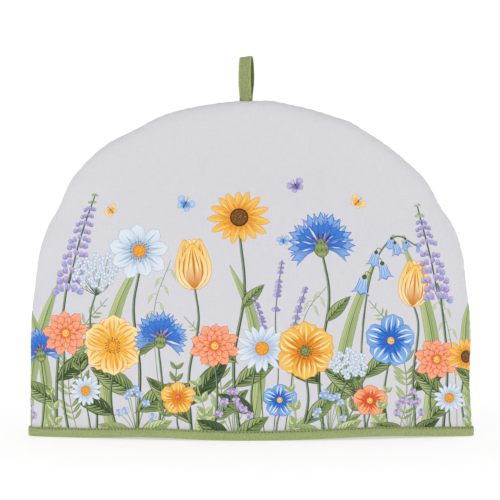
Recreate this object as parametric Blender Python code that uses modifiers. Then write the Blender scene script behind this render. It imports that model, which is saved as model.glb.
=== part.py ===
"""A padded tea cosy: two dome panels joined by a seam, a tape round the hem and a hanging loop.

It stands on its hem at z = 0 with the front panel at -Y. Lengths are in metres and angles in degrees.
"""

import math

import bmesh
import bpy
import numpy as np
from mathutils import Matrix, Vector

# The dome
BELLY = 0.046  # from the seam's plane to the middle of a panel's hem
BELLY_POWER = 2.2  # how squarely a panel's profile turns down to the seam
SEAM_ROUND = 0.0075  # radius of the padded edge beside the seam
SEAM_ROUND_FADE = 0.012  # how far from the seam that edge is felt
GROOVE_DEPTH = 0.001  # how far the stitched seam sinks between the panels
GROOVE_WIDTH = 0.0015

# The seam from the front: its reach from the middle of the hem, every 15 degrees from the right
SEAM_STEP = 15.0
SEAM_REACH = (
    0.1670, 0.1710, 0.1905, 0.2180, 0.2374, 0.2484, 0.2527,
    0.2510, 0.2422, 0.2185, 0.1910, 0.1726, 0.1670,
)  # fmt: skip
# Where the seam draws in between stitches or swells: bearing, spread, depth
SEAM_SCALLOPS = (
    (35.0, 5.0, 0.0012),
    (50.5, 2.5, 0.0019),
    (56.5, 2.0, -0.0008),
    (72.5, 2.2, -0.0013),
    (86.5, 2.2, -0.0010),
    (98.0, 4.0, 0.0007),
    (111.0, 3.5, 0.0017),
    (124.5, 2.0, -0.0006),
    (130.0, 2.8, 0.0014),
    (145.0, 2.8, 0.0008),
)

# The wall of cotton, wadding and lining
WALL = 0.006
HEM_WALL_SHARE = 0.5  # the tape presses the wall to this share of itself
HEM_DRAW_IN = 0.0005  # and draws its face in by this
GAP = 0.0003  # between pieces that touch

# The hem tape
TAPE = 0.0012
TAPE_HEIGHT = 0.0072
TAPE_ROUND = 0.0009  # radius of its folded lower edges
HEM_PRESSED_TO = TAPE_HEIGHT + 0.0012  # height up to which the wall is pressed flat
HEM_FREE_FROM = 0.018  # height from which it is full again

# The hanging loop, a doubled tape caught in the seam and turned a little on its root
LOOP_TAPE = 0.0014
LOOP_WIDTH = 0.0095
LOOP_X = -0.004
LOOP_TURN = -15.0
LOOP_HEIGHT = 0.0340
LOOP_SLANT = 0.0013  # how much higher its top fold is at the right
LOOP_ROOT = 0.0045  # how deep its root sits in the seam
# The front leg's outer face: height above the seam, distance from the loop's middle plane
LOOP_LEG = (
    (0.0000, 0.0014),
    (0.0030, 0.0019),
    (0.0080, 0.0038),
    (0.0140, 0.0053),
    (0.0200, 0.0056),
    (0.0260, 0.0049),
    (0.0305, 0.0036),
    (0.0332, 0.0022),
    (0.0340, 0.0000),
)

# How finely the shapes are drawn
PANEL_COLUMNS = 42
PANEL_ROWS = 22
MERIDIAN_STEPS = 120
HEM_STEPS = 20  # in a quarter of the hem
HEM_CROWDING = 0.16  # how close the corner's steps are, beside even ones
CURVE_POINTS = 5

COTTON = ("printed_cotton", (0.82, 0.81, 0.84, 1.0), 0.85)
GREEN_TAPE = ("hem_tape", (0.34, 0.40, 0.17, 1.0), 0.8)
GREEN_LOOP = ("loop_tape", (0.31, 0.37, 0.15, 1.0), 0.8)


def clear_scene():
    """Removes whatever the file opens with."""
    for obj in list(bpy.data.objects):
        bpy.data.objects.remove(obj, do_unlink=True)


def new_collection(name):
    collection = bpy.data.collections.new(name)
    bpy.context.scene.collection.children.link(collection)
    return collection


def cloth_material(name, colour, roughness):
    material = bpy.data.materials.new(name)
    material.use_nodes = True
    shader = material.node_tree.nodes["Principled BSDF"]
    shader.inputs["Base Color"].default_value = colour
    shader.inputs["Roughness"].default_value = roughness
    shader.inputs["Metallic"].default_value = 0.0
    return material


def ease(low, high, value):
    """0 below low, 1 above high, and a smooth step between."""
    share = min(1.0, max(0.0, (value - low) / (high - low)))
    return share * share * (3 - 2 * share)


def smooth_between(before, start, end, after, share):
    """A Catmull-Rom value between start and end."""
    slope_in, slope_out = (end - before) / 2, (after - start) / 2
    square, cube = share * share, share**3
    return (
        (2 * cube - 3 * square + 1) * start
        + (3 * square - 2 * cube) * end
        + (cube - 2 * square + share) * slope_in
        + (cube - square) * slope_out
    )


def seam_reach(bearing):
    """The seam's distance from the middle of the hem, at a bearing from the right."""
    last = len(SEAM_REACH) - 1
    place = min(last, max(0.0, bearing / SEAM_STEP))
    row = min(int(place), last - 1)
    before = SEAM_REACH[row - 1] if row else SEAM_REACH[1]
    after = SEAM_REACH[row + 2] if row + 2 <= last else SEAM_REACH[last - 1]
    reach = smooth_between(before, SEAM_REACH[row], SEAM_REACH[row + 1], after, place - row)
    for middle, spread, depth in SEAM_SCALLOPS:
        reach -= depth * math.exp(-(((bearing - middle) / spread) ** 2))
    return reach


def meridian(reach):
    """A panel's profile from the middle of the hem to the seam: how far along, how far out and how deep."""
    share = np.sin(np.linspace(0.0, math.pi / 2, MERIDIAN_STEPS))
    inset = reach * (1 - share)
    padding = 2 * SEAM_ROUND * inset * np.exp(-inset / SEAM_ROUND_FADE)
    depth = np.sqrt((BELLY * (1 - share**BELLY_POWER)) ** 2 + padding)
    out = reach * share
    along = np.concatenate([[0.0], np.cumsum(np.hypot(np.diff(out), np.diff(depth)))])
    return along / along[-1], out, depth


def panel_point(bearing, share, side):
    """A point of a panel's face. Share is 0 at the hem's middle and 1 at the seam, and side is -1 in front."""
    angle = math.radians(bearing)
    along, out, depth = meridian(seam_reach(bearing))
    reach = float(np.interp(share, along, out))
    deep = float(np.interp(share, along, depth))
    height = reach * math.sin(angle)
    groove = GROOVE_DEPTH * math.exp(-((deep / GROOVE_WIDTH) ** 2))
    reach -= groove * ease(HEM_PRESSED_TO, HEM_FREE_FROM, height)
    if share > 1.0:
        deep = -(share - 1.0) * out[-1]
    return Vector((reach * math.cos(angle), side * deep, reach * math.sin(angle)))


def panel_face(name, side):
    """The open face of a panel, drawn a little past the seam."""
    past_the_seam = 1.02
    mesh = bpy.data.meshes.new(name)
    shape = bmesh.new()
    bmesh.ops.create_grid(shape, x_segments=PANEL_COLUMNS, y_segments=PANEL_ROWS, size=1.0)
    for vert in shape.verts:
        across, up = vert.co.x, (vert.co.y + 1) / 2
        flat_x = across * math.sqrt(1 - up * up / 2)
        flat_z = up * math.sqrt(1 - across * across / 2)
        bearing = math.degrees(math.atan2(flat_z, flat_x))
        vert.co = panel_point(bearing, math.hypot(flat_x, flat_z) * past_the_seam, side)
    bmesh.ops.recalc_face_normals(shape, faces=shape.faces)
    if sum(face.normal.y * face.calc_area() for face in shape.faces) * side < 0:
        bmesh.ops.reverse_faces(shape, faces=shape.faces)
    shape.normal_update()
    press_hem(shape)
    shape.to_mesh(mesh)
    shape.free()
    return mesh


def press_hem(shape):
    """Draws the face in where the tape presses it."""
    moves = {}
    for vert in shape.verts:
        level = Vector((vert.normal.x, vert.normal.y, 0.0)).normalized()
        pressed = 1 - ease(HEM_PRESSED_TO, HEM_FREE_FROM, vert.co.z)
        moves[vert] = level * (HEM_DRAW_IN * pressed)
    for vert, move in moves.items():
        vert.co -= move


def build_panel(name, side, collection, cutters):
    """One padded dome: its face made a wall, trimmed at the seam's plane and at the hem."""
    mesh = panel_face(name, side)
    panel = bpy.data.objects.new(name, mesh)
    collection.objects.link(panel)

    wadding = panel.vertex_groups.new(name="wadding")
    for vert in mesh.vertices:
        full = ease(HEM_PRESSED_TO, HEM_FREE_FROM, vert.co.z)
        wadding.add([vert.index], HEM_WALL_SHARE + (1 - HEM_WALL_SHARE) * full, "REPLACE")
    wall = panel.modifiers.new("wall", "SOLIDIFY")
    wall.thickness = WALL
    wall.offset = -1.0
    wall.vertex_group = wadding.name

    trim = panel.modifiers.new("trim", "BOOLEAN")
    trim.operation = "INTERSECT"
    trim.object = cutters["front_half" if side < 0 else "back_half"]
    for name in ("loop_seat", "hem_seat"):
        seat = panel.modifiers.new(name, "BOOLEAN")
        seat.operation = "DIFFERENCE"
        seat.object = cutters[name]
    mesh.shade_smooth()
    return panel


def cutter_box(name, low, high, collection):
    bpy.ops.mesh.primitive_cube_add(size=1.0)
    box = bpy.context.object
    box.name = name
    size = Vector(high) - Vector(low)
    box.data.transform(Matrix.Translation((Vector(low) + Vector(high)) / 2) @ Matrix.Diagonal((*size, 1.0)))
    for other in list(box.users_collection):
        other.objects.unlink(box)
    collection.objects.link(box)
    box.hide_render = True
    box.display_type = "WIRE"
    return box


def loop_frame():
    """Places the loop: its root on the seam, turned about the vertical."""
    bearing = math.degrees(math.atan2(seam_reach(90.0), LOOP_X))
    seat = Vector((LOOP_X, 0.0, seam_reach(bearing) * math.sin(math.radians(bearing)) - GROOVE_DEPTH))
    return Matrix.Translation(seat) @ Matrix.Rotation(math.radians(LOOP_TURN), 4, "Z")


def make_cutters(collection):
    """The halves that trim each panel, and the seat of the loop's root."""
    far = 0.4
    hem = TAPE + GAP
    cutters = {
        "front_half": cutter_box("front_half", (-far, -far, hem), (far, -GAP / 2, far), collection),
        "back_half": cutter_box("back_half", (-far, GAP / 2, hem), (far, far, far), collection),
    }
    half_width = LOOP_WIDTH / 2 + GAP
    half_depth = LOOP_TAPE + GAP
    low = (-half_width, -half_depth, -LOOP_ROOT - GAP)
    high = (half_width, half_depth, LOOP_HEIGHT)
    cutters["loop_seat"] = cutter_box("loop_seat", low, high, collection)
    cutters["loop_seat"].matrix_world = loop_frame()
    cutters["hem_seat"] = ring_object("hem_seat", tape_section(GAP), collection)
    cutters["hem_seat"].hide_render = True
    cutters["hem_seat"].display_type = "WIRE"
    return cutters


def hem_ring(inset):
    """The line round the hem, that far inside the panels' faces, and its headings."""
    _, out, depth = meridian(SEAM_REACH[0])
    out, depth = out[::-1], depth[::-1]
    from_corner = np.concatenate([[0.0], np.cumsum(np.hypot(np.diff(out), np.diff(depth)))])
    steps = np.linspace(0.0, 1.0, HEM_STEPS + 1)
    stops = from_corner[-1] * (HEM_CROWDING * steps + (1 - HEM_CROWDING) * steps**2)
    point = np.stack([np.interp(stops, from_corner, out), np.interp(stops, from_corner, depth)], axis=1)
    slope = np.stack([np.gradient(out, from_corner), np.gradient(depth, from_corner)], axis=1)
    heading = np.stack([np.interp(stops, from_corner, slope[:, side]) for side in (0, 1)], axis=1)
    heading[0] = (0.0, 1.0)
    heading[-1] = (-1.0, 0.0)
    heading /= np.linalg.norm(heading, axis=1)[:, None]
    point -= np.stack([heading[:, 1], -heading[:, 0]], axis=1) * inset

    # The quarter from the right corner to the back, then its mirror images round the ring
    half = np.concatenate([point, point[-2::-1] * (-1, 1)])
    half_heading = np.concatenate([heading, heading[-2::-1] * (1, -1)])
    ring = np.concatenate([half, half[-2:0:-1] * (1, -1)])
    ring_heading = np.concatenate([half_heading, half_heading[-2:0:-1] * (-1, 1)])
    return ring, ring_heading


def tape_section(grow=0.0):
    """The folded hem tape's section, across the wall and up from the floor, or a seat that much larger."""
    inner = WALL * HEM_WALL_SHARE / 2 + GAP - grow
    outer = inner + TAPE + 2 * grow
    turned = math.sqrt(0.5)
    corner = TAPE_ROUND * (1 - turned)
    lip = TAPE / 3
    right = [
        (outer - TAPE_ROUND, 0.0),
        (outer - corner, corner),
        (outer, TAPE_ROUND),
        (outer, TAPE_HEIGHT + grow - lip),
        (outer - lip, TAPE_HEIGHT + grow),
        (inner, TAPE_HEIGHT + grow),
        (inner, TAPE),
    ]
    return right + [(-across, up) for across, up in reversed(right)]


def ring_object(name, section, collection):
    """A section carried round the hem in one closed ring."""
    path, heading = hem_ring(HEM_DRAW_IN + WALL * HEM_WALL_SHARE / 2)
    shape = bmesh.new()
    rings = []
    for (x, y), (along_x, along_y) in zip(path, heading):
        ring = [shape.verts.new((x + along_y * across, y - along_x * across, up)) for across, up in section]
        rings.append(ring)
    count = len(section)
    for ring, following in zip(rings, rings[1:] + rings[:1]):
        for here in range(count):
            there = (here + 1) % count
            shape.faces.new((ring[here], ring[there], following[there], following[here]))
    bmesh.ops.recalc_face_normals(shape, faces=shape.faces)
    mesh = bpy.data.meshes.new(name)
    shape.to_mesh(mesh)
    shape.free()
    mesh.shade_smooth()
    mesh.set_sharp_from_angle(angle=math.radians(40))
    ring = bpy.data.objects.new(name, mesh)
    collection.objects.link(ring)
    return ring


def rounded_side(rows, inset):
    """One side of the loop's outline, smoothed between the rows and moved in by inset."""
    heights = [row[0] for row in rows]
    reaches = [row[1] for row in rows]
    fine = []
    for row in range(len(rows) - 1):
        before, after = max(row - 1, 0), min(row + 2, len(rows) - 1)
        for step in range(CURVE_POINTS):
            share = step / CURVE_POINTS
            fine.append(
                Vector(
                    smooth_between(table[before], table[row], table[row + 1], table[after], share)
                    for table in (reaches, heights)
                )
            )
    fine.append(Vector((reaches[-1], heights[-1])))
    if not inset:
        return fine
    moved = []
    for here, point in enumerate(fine):
        ahead = fine[min(here + 1, len(fine) - 1)]
        behind = fine[max(here - 1, 0)]
        heading = (ahead - behind).normalized()
        moved.append(point - Vector((heading.y, -heading.x)) * inset)
    return [point for point in moved if point.x > LOOP_TAPE * 0.2] + [Vector((0.0, heights[-1] - inset))]


def add_outline(curve, points):
    spline = curve.splines.new("POLY")
    spline.points.add(len(points) - 1)
    for point, (across, up) in zip(spline.points, points):
        point.co = (across, up, 0.0, 1.0)
    spline.use_cyclic_u = True


def build_hanging_loop(collection):
    """The doubled tape: its side outline with the open eye, as wide as the tape."""
    outer = [(LOOP_TAPE, -LOOP_ROOT)] + [tuple(point) for point in rounded_side(LOOP_LEG, 0.0)]
    eye = [tuple(point) for point in rounded_side(LOOP_LEG, LOOP_TAPE)]
    eye = [(0.0, eye[0][1] - LOOP_TAPE)] + eye
    curve = bpy.data.curves.new("hanging_loop_outline", "CURVE")
    curve.dimensions = "2D"
    curve.fill_mode = "BOTH"
    curve.extrude = LOOP_WIDTH / 2
    add_outline(curve, outer + [(-across, up) for across, up in reversed(outer[:-1])])
    add_outline(curve, eye + [(-across, up) for across, up in reversed(eye[1:-1])])
    outline = bpy.data.objects.new("hanging_loop_outline", curve)
    bpy.context.scene.collection.objects.link(outline)
    mesh = bpy.data.meshes.new_from_object(outline.evaluated_get(bpy.context.evaluated_depsgraph_get()))
    bpy.data.objects.remove(outline)

    # The outline lies in XY and is extruded along Z. The cosy needs it across Y and up Z.
    stand_up = Matrix(((0, 0, 1, 0), (1, 0, 0, 0), (0, 1, 0, 0), (0, 0, 0, 1)))
    mesh.transform(stand_up)
    shape = bmesh.new()
    shape.from_mesh(mesh)
    bmesh.ops.remove_doubles(shape, verts=shape.verts, dist=1e-6)
    bmesh.ops.recalc_face_normals(shape, faces=shape.faces)
    for vert in shape.verts:
        vert.co.z += LOOP_SLANT * vert.co.x / LOOP_WIDTH * max(0.0, vert.co.z / LOOP_HEIGHT)
    shape.to_mesh(mesh)
    shape.free()
    mesh.name = "hanging_loop"
    mesh.shade_smooth()
    mesh.set_sharp_from_angle(angle=math.radians(40))
    loop = bpy.data.objects.new("hanging_loop", mesh)
    loop.matrix_world = loop_frame()
    collection.objects.link(loop)
    return loop


def main():
    clear_scene()
    cosy = new_collection("tea_cosy")
    cutting = new_collection("cutters")
    cutters = make_cutters(cutting)
    printed_cotton = cloth_material(*COTTON)
    front = build_panel("front_panel", -1, cosy, cutters)
    back = build_panel("back_panel", 1, cosy, cutters)
    for panel in (front, back):
        panel.data.materials.append(printed_cotton)
    binding = ring_object("hem_binding", tape_section(), cosy)
    binding.data.materials.append(cloth_material(*GREEN_TAPE))
    build_hanging_loop(cosy).data.materials.append(cloth_material(*GREEN_LOOP))


main()
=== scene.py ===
"""Dresses the padded tea cosy: printed cotton panels, a bound hem, a hanging loop and their sewing."""

import logging
import math
import random
from dataclasses import dataclass, field, replace
from enum import Enum
from typing import Any, Sequence

import bpy
import numpy as np
from mathutils import Matrix, Vector, noise
from mathutils.geometry import delaunay_2d_cdt


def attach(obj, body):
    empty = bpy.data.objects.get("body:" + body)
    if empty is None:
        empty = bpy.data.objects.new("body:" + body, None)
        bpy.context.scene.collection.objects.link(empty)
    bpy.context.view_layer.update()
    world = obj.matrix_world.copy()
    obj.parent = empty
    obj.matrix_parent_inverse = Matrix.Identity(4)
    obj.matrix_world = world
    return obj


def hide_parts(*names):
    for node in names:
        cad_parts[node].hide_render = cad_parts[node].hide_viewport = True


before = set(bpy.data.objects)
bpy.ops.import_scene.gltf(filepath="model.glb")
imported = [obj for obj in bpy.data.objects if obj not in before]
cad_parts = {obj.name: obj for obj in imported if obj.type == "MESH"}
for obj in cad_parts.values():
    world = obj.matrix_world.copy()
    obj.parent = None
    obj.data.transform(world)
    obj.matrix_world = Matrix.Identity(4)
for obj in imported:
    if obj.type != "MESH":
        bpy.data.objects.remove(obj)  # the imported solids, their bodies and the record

Array = np.ndarray
Point = Sequence[float]  # across and up
Mesh = bpy.types.Mesh
Object = bpy.types.Object
Material = bpy.types.Material
Tree = bpy.types.NodeTree

MM = 0.001  # the shapes below are worked out in millimetres
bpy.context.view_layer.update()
GOLDEN_TURN = 2.39996  # radians, as seeds are set in a flower head
TRIANGLE_HEIGHT = 0.866  # of an even triangle, in sides
log = logging.getLogger("tea_cosy")


# Inks and small drawing tools


def linear(colour: tuple[int, int, int]) -> Array:
    """Returns an sRGB colour as linear red, green and blue."""
    srgb = np.array(colour) / 255
    return np.where(srgb < 0.04045, srgb / 12.92, ((srgb + 0.055) / 1.055) ** 2.4)


class Ink(Enum):
    """The printed cotton's ground and its inks, as sRGB."""

    CLOTH = (214, 213, 218)
    PINE = (50, 68, 46)
    FOREST = (76, 96, 58)
    LEAF = (130, 148, 90)
    SAGE = (162, 177, 120)
    SPRING = (184, 196, 138)
    PALE_LEAF = (208, 215, 172)
    TEAL = (88, 110, 90)
    NAVY = (40, 56, 84)
    COBALT = (28, 88, 186)
    BLUE = (72, 134, 214)
    SKY = (142, 184, 232)
    ICE = (196, 212, 230)
    FROST = (226, 232, 240)
    MIST = (158, 176, 198)
    GRAPE = (108, 94, 158)
    LILAC = (156, 144, 202)
    MAUVE = (198, 187, 226)
    ORANGE = (214, 126, 26)
    AMBER = (238, 162, 50)
    YELLOW = (244, 198, 94)
    BUTTER = (244, 226, 172)
    RUST = (204, 72, 42)
    CORAL = (238, 112, 76)
    BLUSH = (248, 174, 146)
    COCOA = (118, 78, 38)
    BARK = (60, 46, 36)


@dataclass(frozen=True)
class Inks:
    """The tones in which a flower or leaf is painted."""

    line: Ink
    dark: Ink
    base: Ink
    light: Ink
    glint: Ink | None = None


@dataclass(frozen=True)
class Patch:
    """One flat shape of the print, of one ink or fading from one to another along a line."""

    points: Array
    ink: Ink
    fade: Ink | None = None
    start: Point = (0.0, 0.0)
    end: Point = (0.0, 0.0)


def columns(*parts: Array) -> Array:
    """Returns arrays side by side, as the columns of a table."""
    return np.stack(parts, axis=1)


def unit(vectors: Array) -> Array:
    """Returns vectors, in rows, at a length of 1."""
    return vectors / np.maximum(np.linalg.norm(vectors, axis=1), 1e-9)[:, None]


def run_of(path: Array) -> Array:
    """Returns how far along a path each of its points lies."""
    return np.concatenate([[0.0], np.cumsum(np.linalg.norm(np.diff(path, axis=0), axis=1))])


def ray(turn: float) -> Array:
    """Returns the flat direction at that many radians."""
    return np.array((math.cos(turn), math.sin(turn)))


def turned(points: Array, angle: float, root: Point) -> Array:
    """Returns flat points turned by so many degrees and moved to their root."""
    ahead = ray(math.radians(angle))
    return points @ np.array((ahead, (-ahead[1], ahead[0]))) + root


def ease(low: float, high: float, value: Array) -> Array:
    """Returns 0 below low, 1 above high, and a smooth step between."""
    share = np.clip((value - low) / (high - low), 0, 1)
    return share * share * (3 - 2 * share)


def uneven(places: Array, size: float, seed: float) -> Array:
    """Returns smooth random values, with waves of that size.

    Args:
        places: Lengths along a line, or points of the flat cloth in rows.
        size: The size of the waves.
        seed: Which values these are.

    Returns:
        One value for each place.
    """
    rows = (places / size).reshape(len(places), -1).tolist()
    return np.array([noise.noise(Vector((*row, seed, 0.0)[:3])) for row in rows])


def smooth_line(points: Sequence[Point], steps: int = 7) -> Array:
    """Draws a Catmull-Rom line through a few points.

    Args:
        points: The points that the line passes through.
        steps: How many points to make from each one to the next.

    Returns:
        The line's points, in rows.
    """
    given = np.array(points, float)
    ends = np.concatenate([[2 * given[0] - given[1]], given, [2 * given[-1] - given[-2]]])
    share = np.linspace(0, 1, steps, endpoint=False)[:, None]
    spans = []
    for a, b, c, d in zip(ends, ends[1:], ends[2:], ends[3:]):
        square, cube = 2 * a - 5 * b + 4 * c - d, 3 * (b - c) + d - a
        spans.append(0.5 * (2 * b + (c - a) * share + square * share**2 + cube * share**3))
    return np.concatenate([*spans, given[-1:]])


def station(path: Array, share: float) -> tuple[Array, float]:
    """Finds a place on a path.

    Args:
        path: The path's points.
        share: From 0 at its start to 1 at its end.

    Returns:
        The nearest point before it, and which way the path heads there, in degrees.
    """
    place = int(share * (len(path) - 1))
    across, up = np.gradient(path, axis=0)[place]
    return path[place], math.degrees(math.atan2(up, across))


def ribbon(path: Array, widths: Array | float) -> Array:
    """Outlines a line that has a width.

    Args:
        path: The middle of the line.
        widths: One width, or one for each point.

    Returns:
        The closed outline's points.
    """
    heading = unit(np.gradient(path, axis=0))
    half = np.broadcast_to(np.asarray(widths, float) / 2, len(path))[:, None]
    side = columns(-heading[:, 1], heading[:, 0]) * half
    return np.concatenate([path + side, (path - side)[::-1]])


class Artwork:
    """The print, as flat shapes in millimetres in the order in which they are painted."""

    def __init__(self) -> None:
        """Starts with bare cloth."""
        self.patches: list[Patch] = []
        self.chance = random.Random(0)

    def vary(self, low: float, high: float) -> float:
        """Returns the next uneven value between two bounds."""
        return self.chance.uniform(low, high)

    def shape(self, points: Array, ink: Ink, fade: Ink | None = None, ends: tuple | None = None) -> None:
        """Paints a closed shape.

        Args:
            points: The outline.
            ink: Its ink, or the ink at the first of the ends.
            fade: The ink at the second of the ends.
            ends: The two points between which it fades.
        """
        start, end = ends if ends is not None else ((0.0, 0.0), (0.0, 0.0))
        self.patches.append(Patch(np.asarray(points, float), ink, fade, tuple(start), tuple(end)))

    def line(self, path: Array, width: float, ink: Ink, taper: float = 0.0) -> None:
        """Paints a brush line.

        Args:
            path: The middle of the line.
            width: Its width.
            ink: Its ink.
            taper: How much of the width is lost at both ends, from 0 to 1.
        """
        along = np.linspace(0, 1, len(path))
        self.shape(ribbon(path, width * (1 - taper * np.abs(2 * along - 1) ** 1.5)), ink)

    def dot(self, centre: Point, radius: float, ink: Ink, sides: int = 7) -> None:
        """Paints a round dot of so many sides."""
        turn = np.linspace(0, 2 * np.pi, sides, endpoint=False) + centre[0]
        self.shape(columns(np.cos(turn), np.sin(turn)) * radius + centre, ink)

    def moved(self, shift: float, repeat: float, flip: bool) -> "Artwork":
        """Cuts the same printed border at another place.

        Args:
            shift: How far along the border the cut is moved.
            repeat: The length after which the border repeats.
            flip: Whether the piece is seen from its other side.

        Returns:
            The artwork as it lies on the piece.
        """
        cut, mirror = Artwork(), np.array((-1.0 if flip else 1.0, 1.0))
        for patch in self.patches:
            middle = patch.points[:, 0].mean()
            step = ((middle + shift + repeat / 2) % repeat - repeat / 2 - middle, 0)
            start, end = (tuple((np.array(point) + step) * mirror) for point in (patch.start, patch.end))
            cut.patches.append(Patch((patch.points + step) * mirror, patch.ink, patch.fade, start, end))
        return cut


@dataclass(frozen=True)
class Petal:
    """The outline that petals, leaflets and buds share, drawn from its root outwards."""

    root: Point
    angle: float
    length: float
    width: float
    fullness: float = 0.62
    blunt: float = 0.6
    bend: float = 0.0
    frill: float = 0.0

    def at(self, along: Array | float, across: Array | float) -> Array:
        """Finds points on the petal.

        Args:
            along: From 0 at the root to 1 at the tip.
            across: From -1 at one side to 1 at the other.

        Returns:
            The points, in rows.
        """
        along, across = np.broadcast_arrays(np.asarray(along, float), np.asarray(across, float))
        power = math.log(0.5) / math.log(self.fullness)
        inside = np.clip(along, 0, 1)
        half = self.width / 2 * np.maximum(np.sin(np.pi * inside**power), 0) ** self.blunt
        y = across * half
        x = self.length * (along + self.frill * np.cos(5 * np.pi * y / self.width) * inside**4)
        y = y + self.bend * self.length * inside**2
        cosine, sine = ray(math.radians(self.angle))
        return np.stack([x * cosine - y * sine, x * sine + y * cosine], axis=-1) + self.root

    def outline(self, steps: int = 10) -> Array:
        """Returns the closed outline, with that many steps on each side."""
        along = (1 - np.cos(np.linspace(0, np.pi, steps + 1))) / 2
        return np.concatenate([self.at(along, 1.0), self.at(along[-2:0:-1], -1.0)])

    def grown(self, edge: float) -> "Petal":
        """Returns the petal with an edge of that width all round."""
        root = self.root - edge * ray(math.radians(self.angle))
        return replace(self, root=root, length=self.length + 2 * edge, width=self.width + 2 * edge)

    def stamp(self, art: Artwork, line: Ink, ground: Ink, steps: int = 10, edge: float = 0.2) -> None:
        """Paints the petal plainly.

        Args:
            art: The artwork to paint on.
            line: The ink of its edge.
            ground: The ink inside it.
            steps: How many steps its outline has on each side.
            edge: The width of its edge.
        """
        art.shape(self.grown(edge).outline(steps), line)
        art.shape(self.outline(steps), ground)

    def vein(self, start: float, end: float, across: float, spread: float = 1.0) -> Array:
        """Returns a line along the petal at one place across, which spreads by so much towards its end."""
        along = np.linspace(start, end, 4)
        return self.at(along, across * (1 + (spread - 1) * (along - start) / max(end - start, 1e-6)))

    def paint(self, art: Artwork, inks: Inks, veins: int = 5, edge: float = 0.3) -> None:
        """Paints the petal: an outline, a fading ground, a shaded throat, and dark and light brush strokes.

        Args:
            art: The artwork to paint on.
            inks: Its tones.
            veins: How many strokes cross its width.
            edge: The width of its outline.
        """
        steps = 9 if self.length > 12 else 7
        if edge:
            art.shape(self.grown(edge).outline(steps), inks.line)
        art.shape(self.outline(steps), inks.light, inks.base, (self.at(1.0, 0.0), self.at(0.2, 0.0)))
        throat = Petal(self.root, self.angle, self.length * 0.6, self.width * 0.62, 0.5, 0.8, self.bend)
        art.shape(throat.outline(5), inks.base, inks.dark, (throat.at(1.0, 0.0), throat.at(0.1, 0.0)))
        for number in range(veins):
            across = ((number + 0.5) / veins * 2 - 1) * 0.86 + art.vary(-0.09, 0.09)
            if number % 2:
                vein = self.vein(art.vary(0.3, 0.5), art.vary(0.9, 0.97), across)
                share, ink = art.vary(0.06, 0.1), inks.glint or inks.light
            else:
                start, end = art.vary(0.08, 0.2), art.vary(0.6, 0.95) - 0.15 * abs(across)
                vein = self.vein(start, end, across, 0.95)
                share, ink = art.vary(0.045, 0.085), inks.dark
            art.line(vein, self.width * share, ink, 0.9)


# The tones of each plant
BLADE = Inks(Ink.FOREST, Ink.LEAF, Ink.SAGE, Ink.SPRING)
FOLIAGE = Inks(Ink.PINE, Ink.FOREST, Ink.LEAF, Ink.SAGE)
YOUNG = Inks(Ink.LEAF, Ink.LEAF, Ink.SAGE, Ink.PALE_LEAF)
STALK = Inks(Ink.PINE, Ink.PINE, Ink.TEAL, Ink.SAGE)
WHITE = Inks(Ink.MIST, Ink.MIST, Ink.ICE, Ink.FROST)
SHADY = Inks(Ink.PINE, Ink.PINE, Ink.FOREST, Ink.LEAF)
SAPPHIRE = Inks(Ink.COBALT, Ink.COBALT, Ink.BLUE, Ink.SKY, Ink.FROST)
AZURE = Inks(Ink.COBALT, Ink.BLUE, Ink.SKY, Ink.ICE)
VIOLET = Inks(Ink.GRAPE, Ink.GRAPE, Ink.LILAC, Ink.MAUVE)
GOLD = Inks(Ink.ORANGE, Ink.ORANGE, Ink.AMBER, Ink.YELLOW, Ink.BUTTER)
LEMON = Inks(Ink.ORANGE, Ink.AMBER, Ink.YELLOW, Ink.BUTTER, Ink.AMBER)
FLAME = Inks(Ink.ORANGE, Ink.ORANGE, Ink.BUTTER, Ink.YELLOW, Ink.BUTTER)
SCARLET = Inks(Ink.RUST, Ink.RUST, Ink.CORAL, Ink.BLUSH, Ink.YELLOW)


# The plants of the border


class Motif:
    """Anything that is painted on the cloth."""

    def draw(self, art: Artwork) -> None:
        """Paints the motif, with the artwork's own unevenness.

        Args:
            art: The artwork to paint on.
        """
        raise NotImplementedError


@dataclass(frozen=True)
class Stem(Motif):
    """A stem through a few points, thinner towards its last one."""

    points: tuple[Point, ...]
    width: float = 1.7
    inks: Inks = STALK

    def draw(self, art: Artwork) -> None:
        """Paints the stem with a dark side and a light streak.

        Args:
            art: The artwork to paint on.
        """
        path = smooth_line(self.points)
        widths = np.linspace(1.15, 0.75, len(path)) * self.width
        side = ribbon(path, 2 * widths)[: len(path)] - path
        art.shape(ribbon(path, widths), self.inks.line)
        art.shape(ribbon(path + side * 0.14, widths * 0.68), self.inks.base)
        art.shape(ribbon(path + side * 0.2, widths * 0.2), self.inks.light)


@dataclass(frozen=True)
class Blade(Motif):
    """A long strap leaf or blade of grass, streaked along its length."""

    points: tuple[Point, ...]
    width: float = 6.0
    inks: Inks = BLADE
    streaks: int = 4

    def draw(self, art: Artwork) -> None:
        """Paints the blade from its root to its fine tip.

        Args:
            art: The artwork to paint on.
        """
        path = smooth_line(self.points)
        along = np.linspace(0, 1, len(path))
        widths = self.width * np.sin(np.pi * (0.18 + 0.82 * along)) ** 0.8 + 0.05
        side = ribbon(path, widths)[: len(path)] - path
        art.shape(ribbon(path, widths + 0.5), self.inks.dark)
        art.shape(ribbon(path, widths), self.inks.base)
        art.shape(np.concatenate([path + side * 0.95, (path + side * 0.1)[::-1]]), self.inks.light)
        for number in range(self.streaks):
            across = ((number + 0.5) / self.streaks * 2 - 1) * 0.75
            start, end = art.chance.randint(0, 4), len(path) - art.chance.randint(2, 7)
            ink = self.inks.dark if number % 2 else self.inks.base
            art.line((path + side * across)[start:end], self.width * 0.07, ink, 0.8)
        art.line(path[1:-2], self.width * 0.05, self.inks.line, 0.7)


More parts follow.
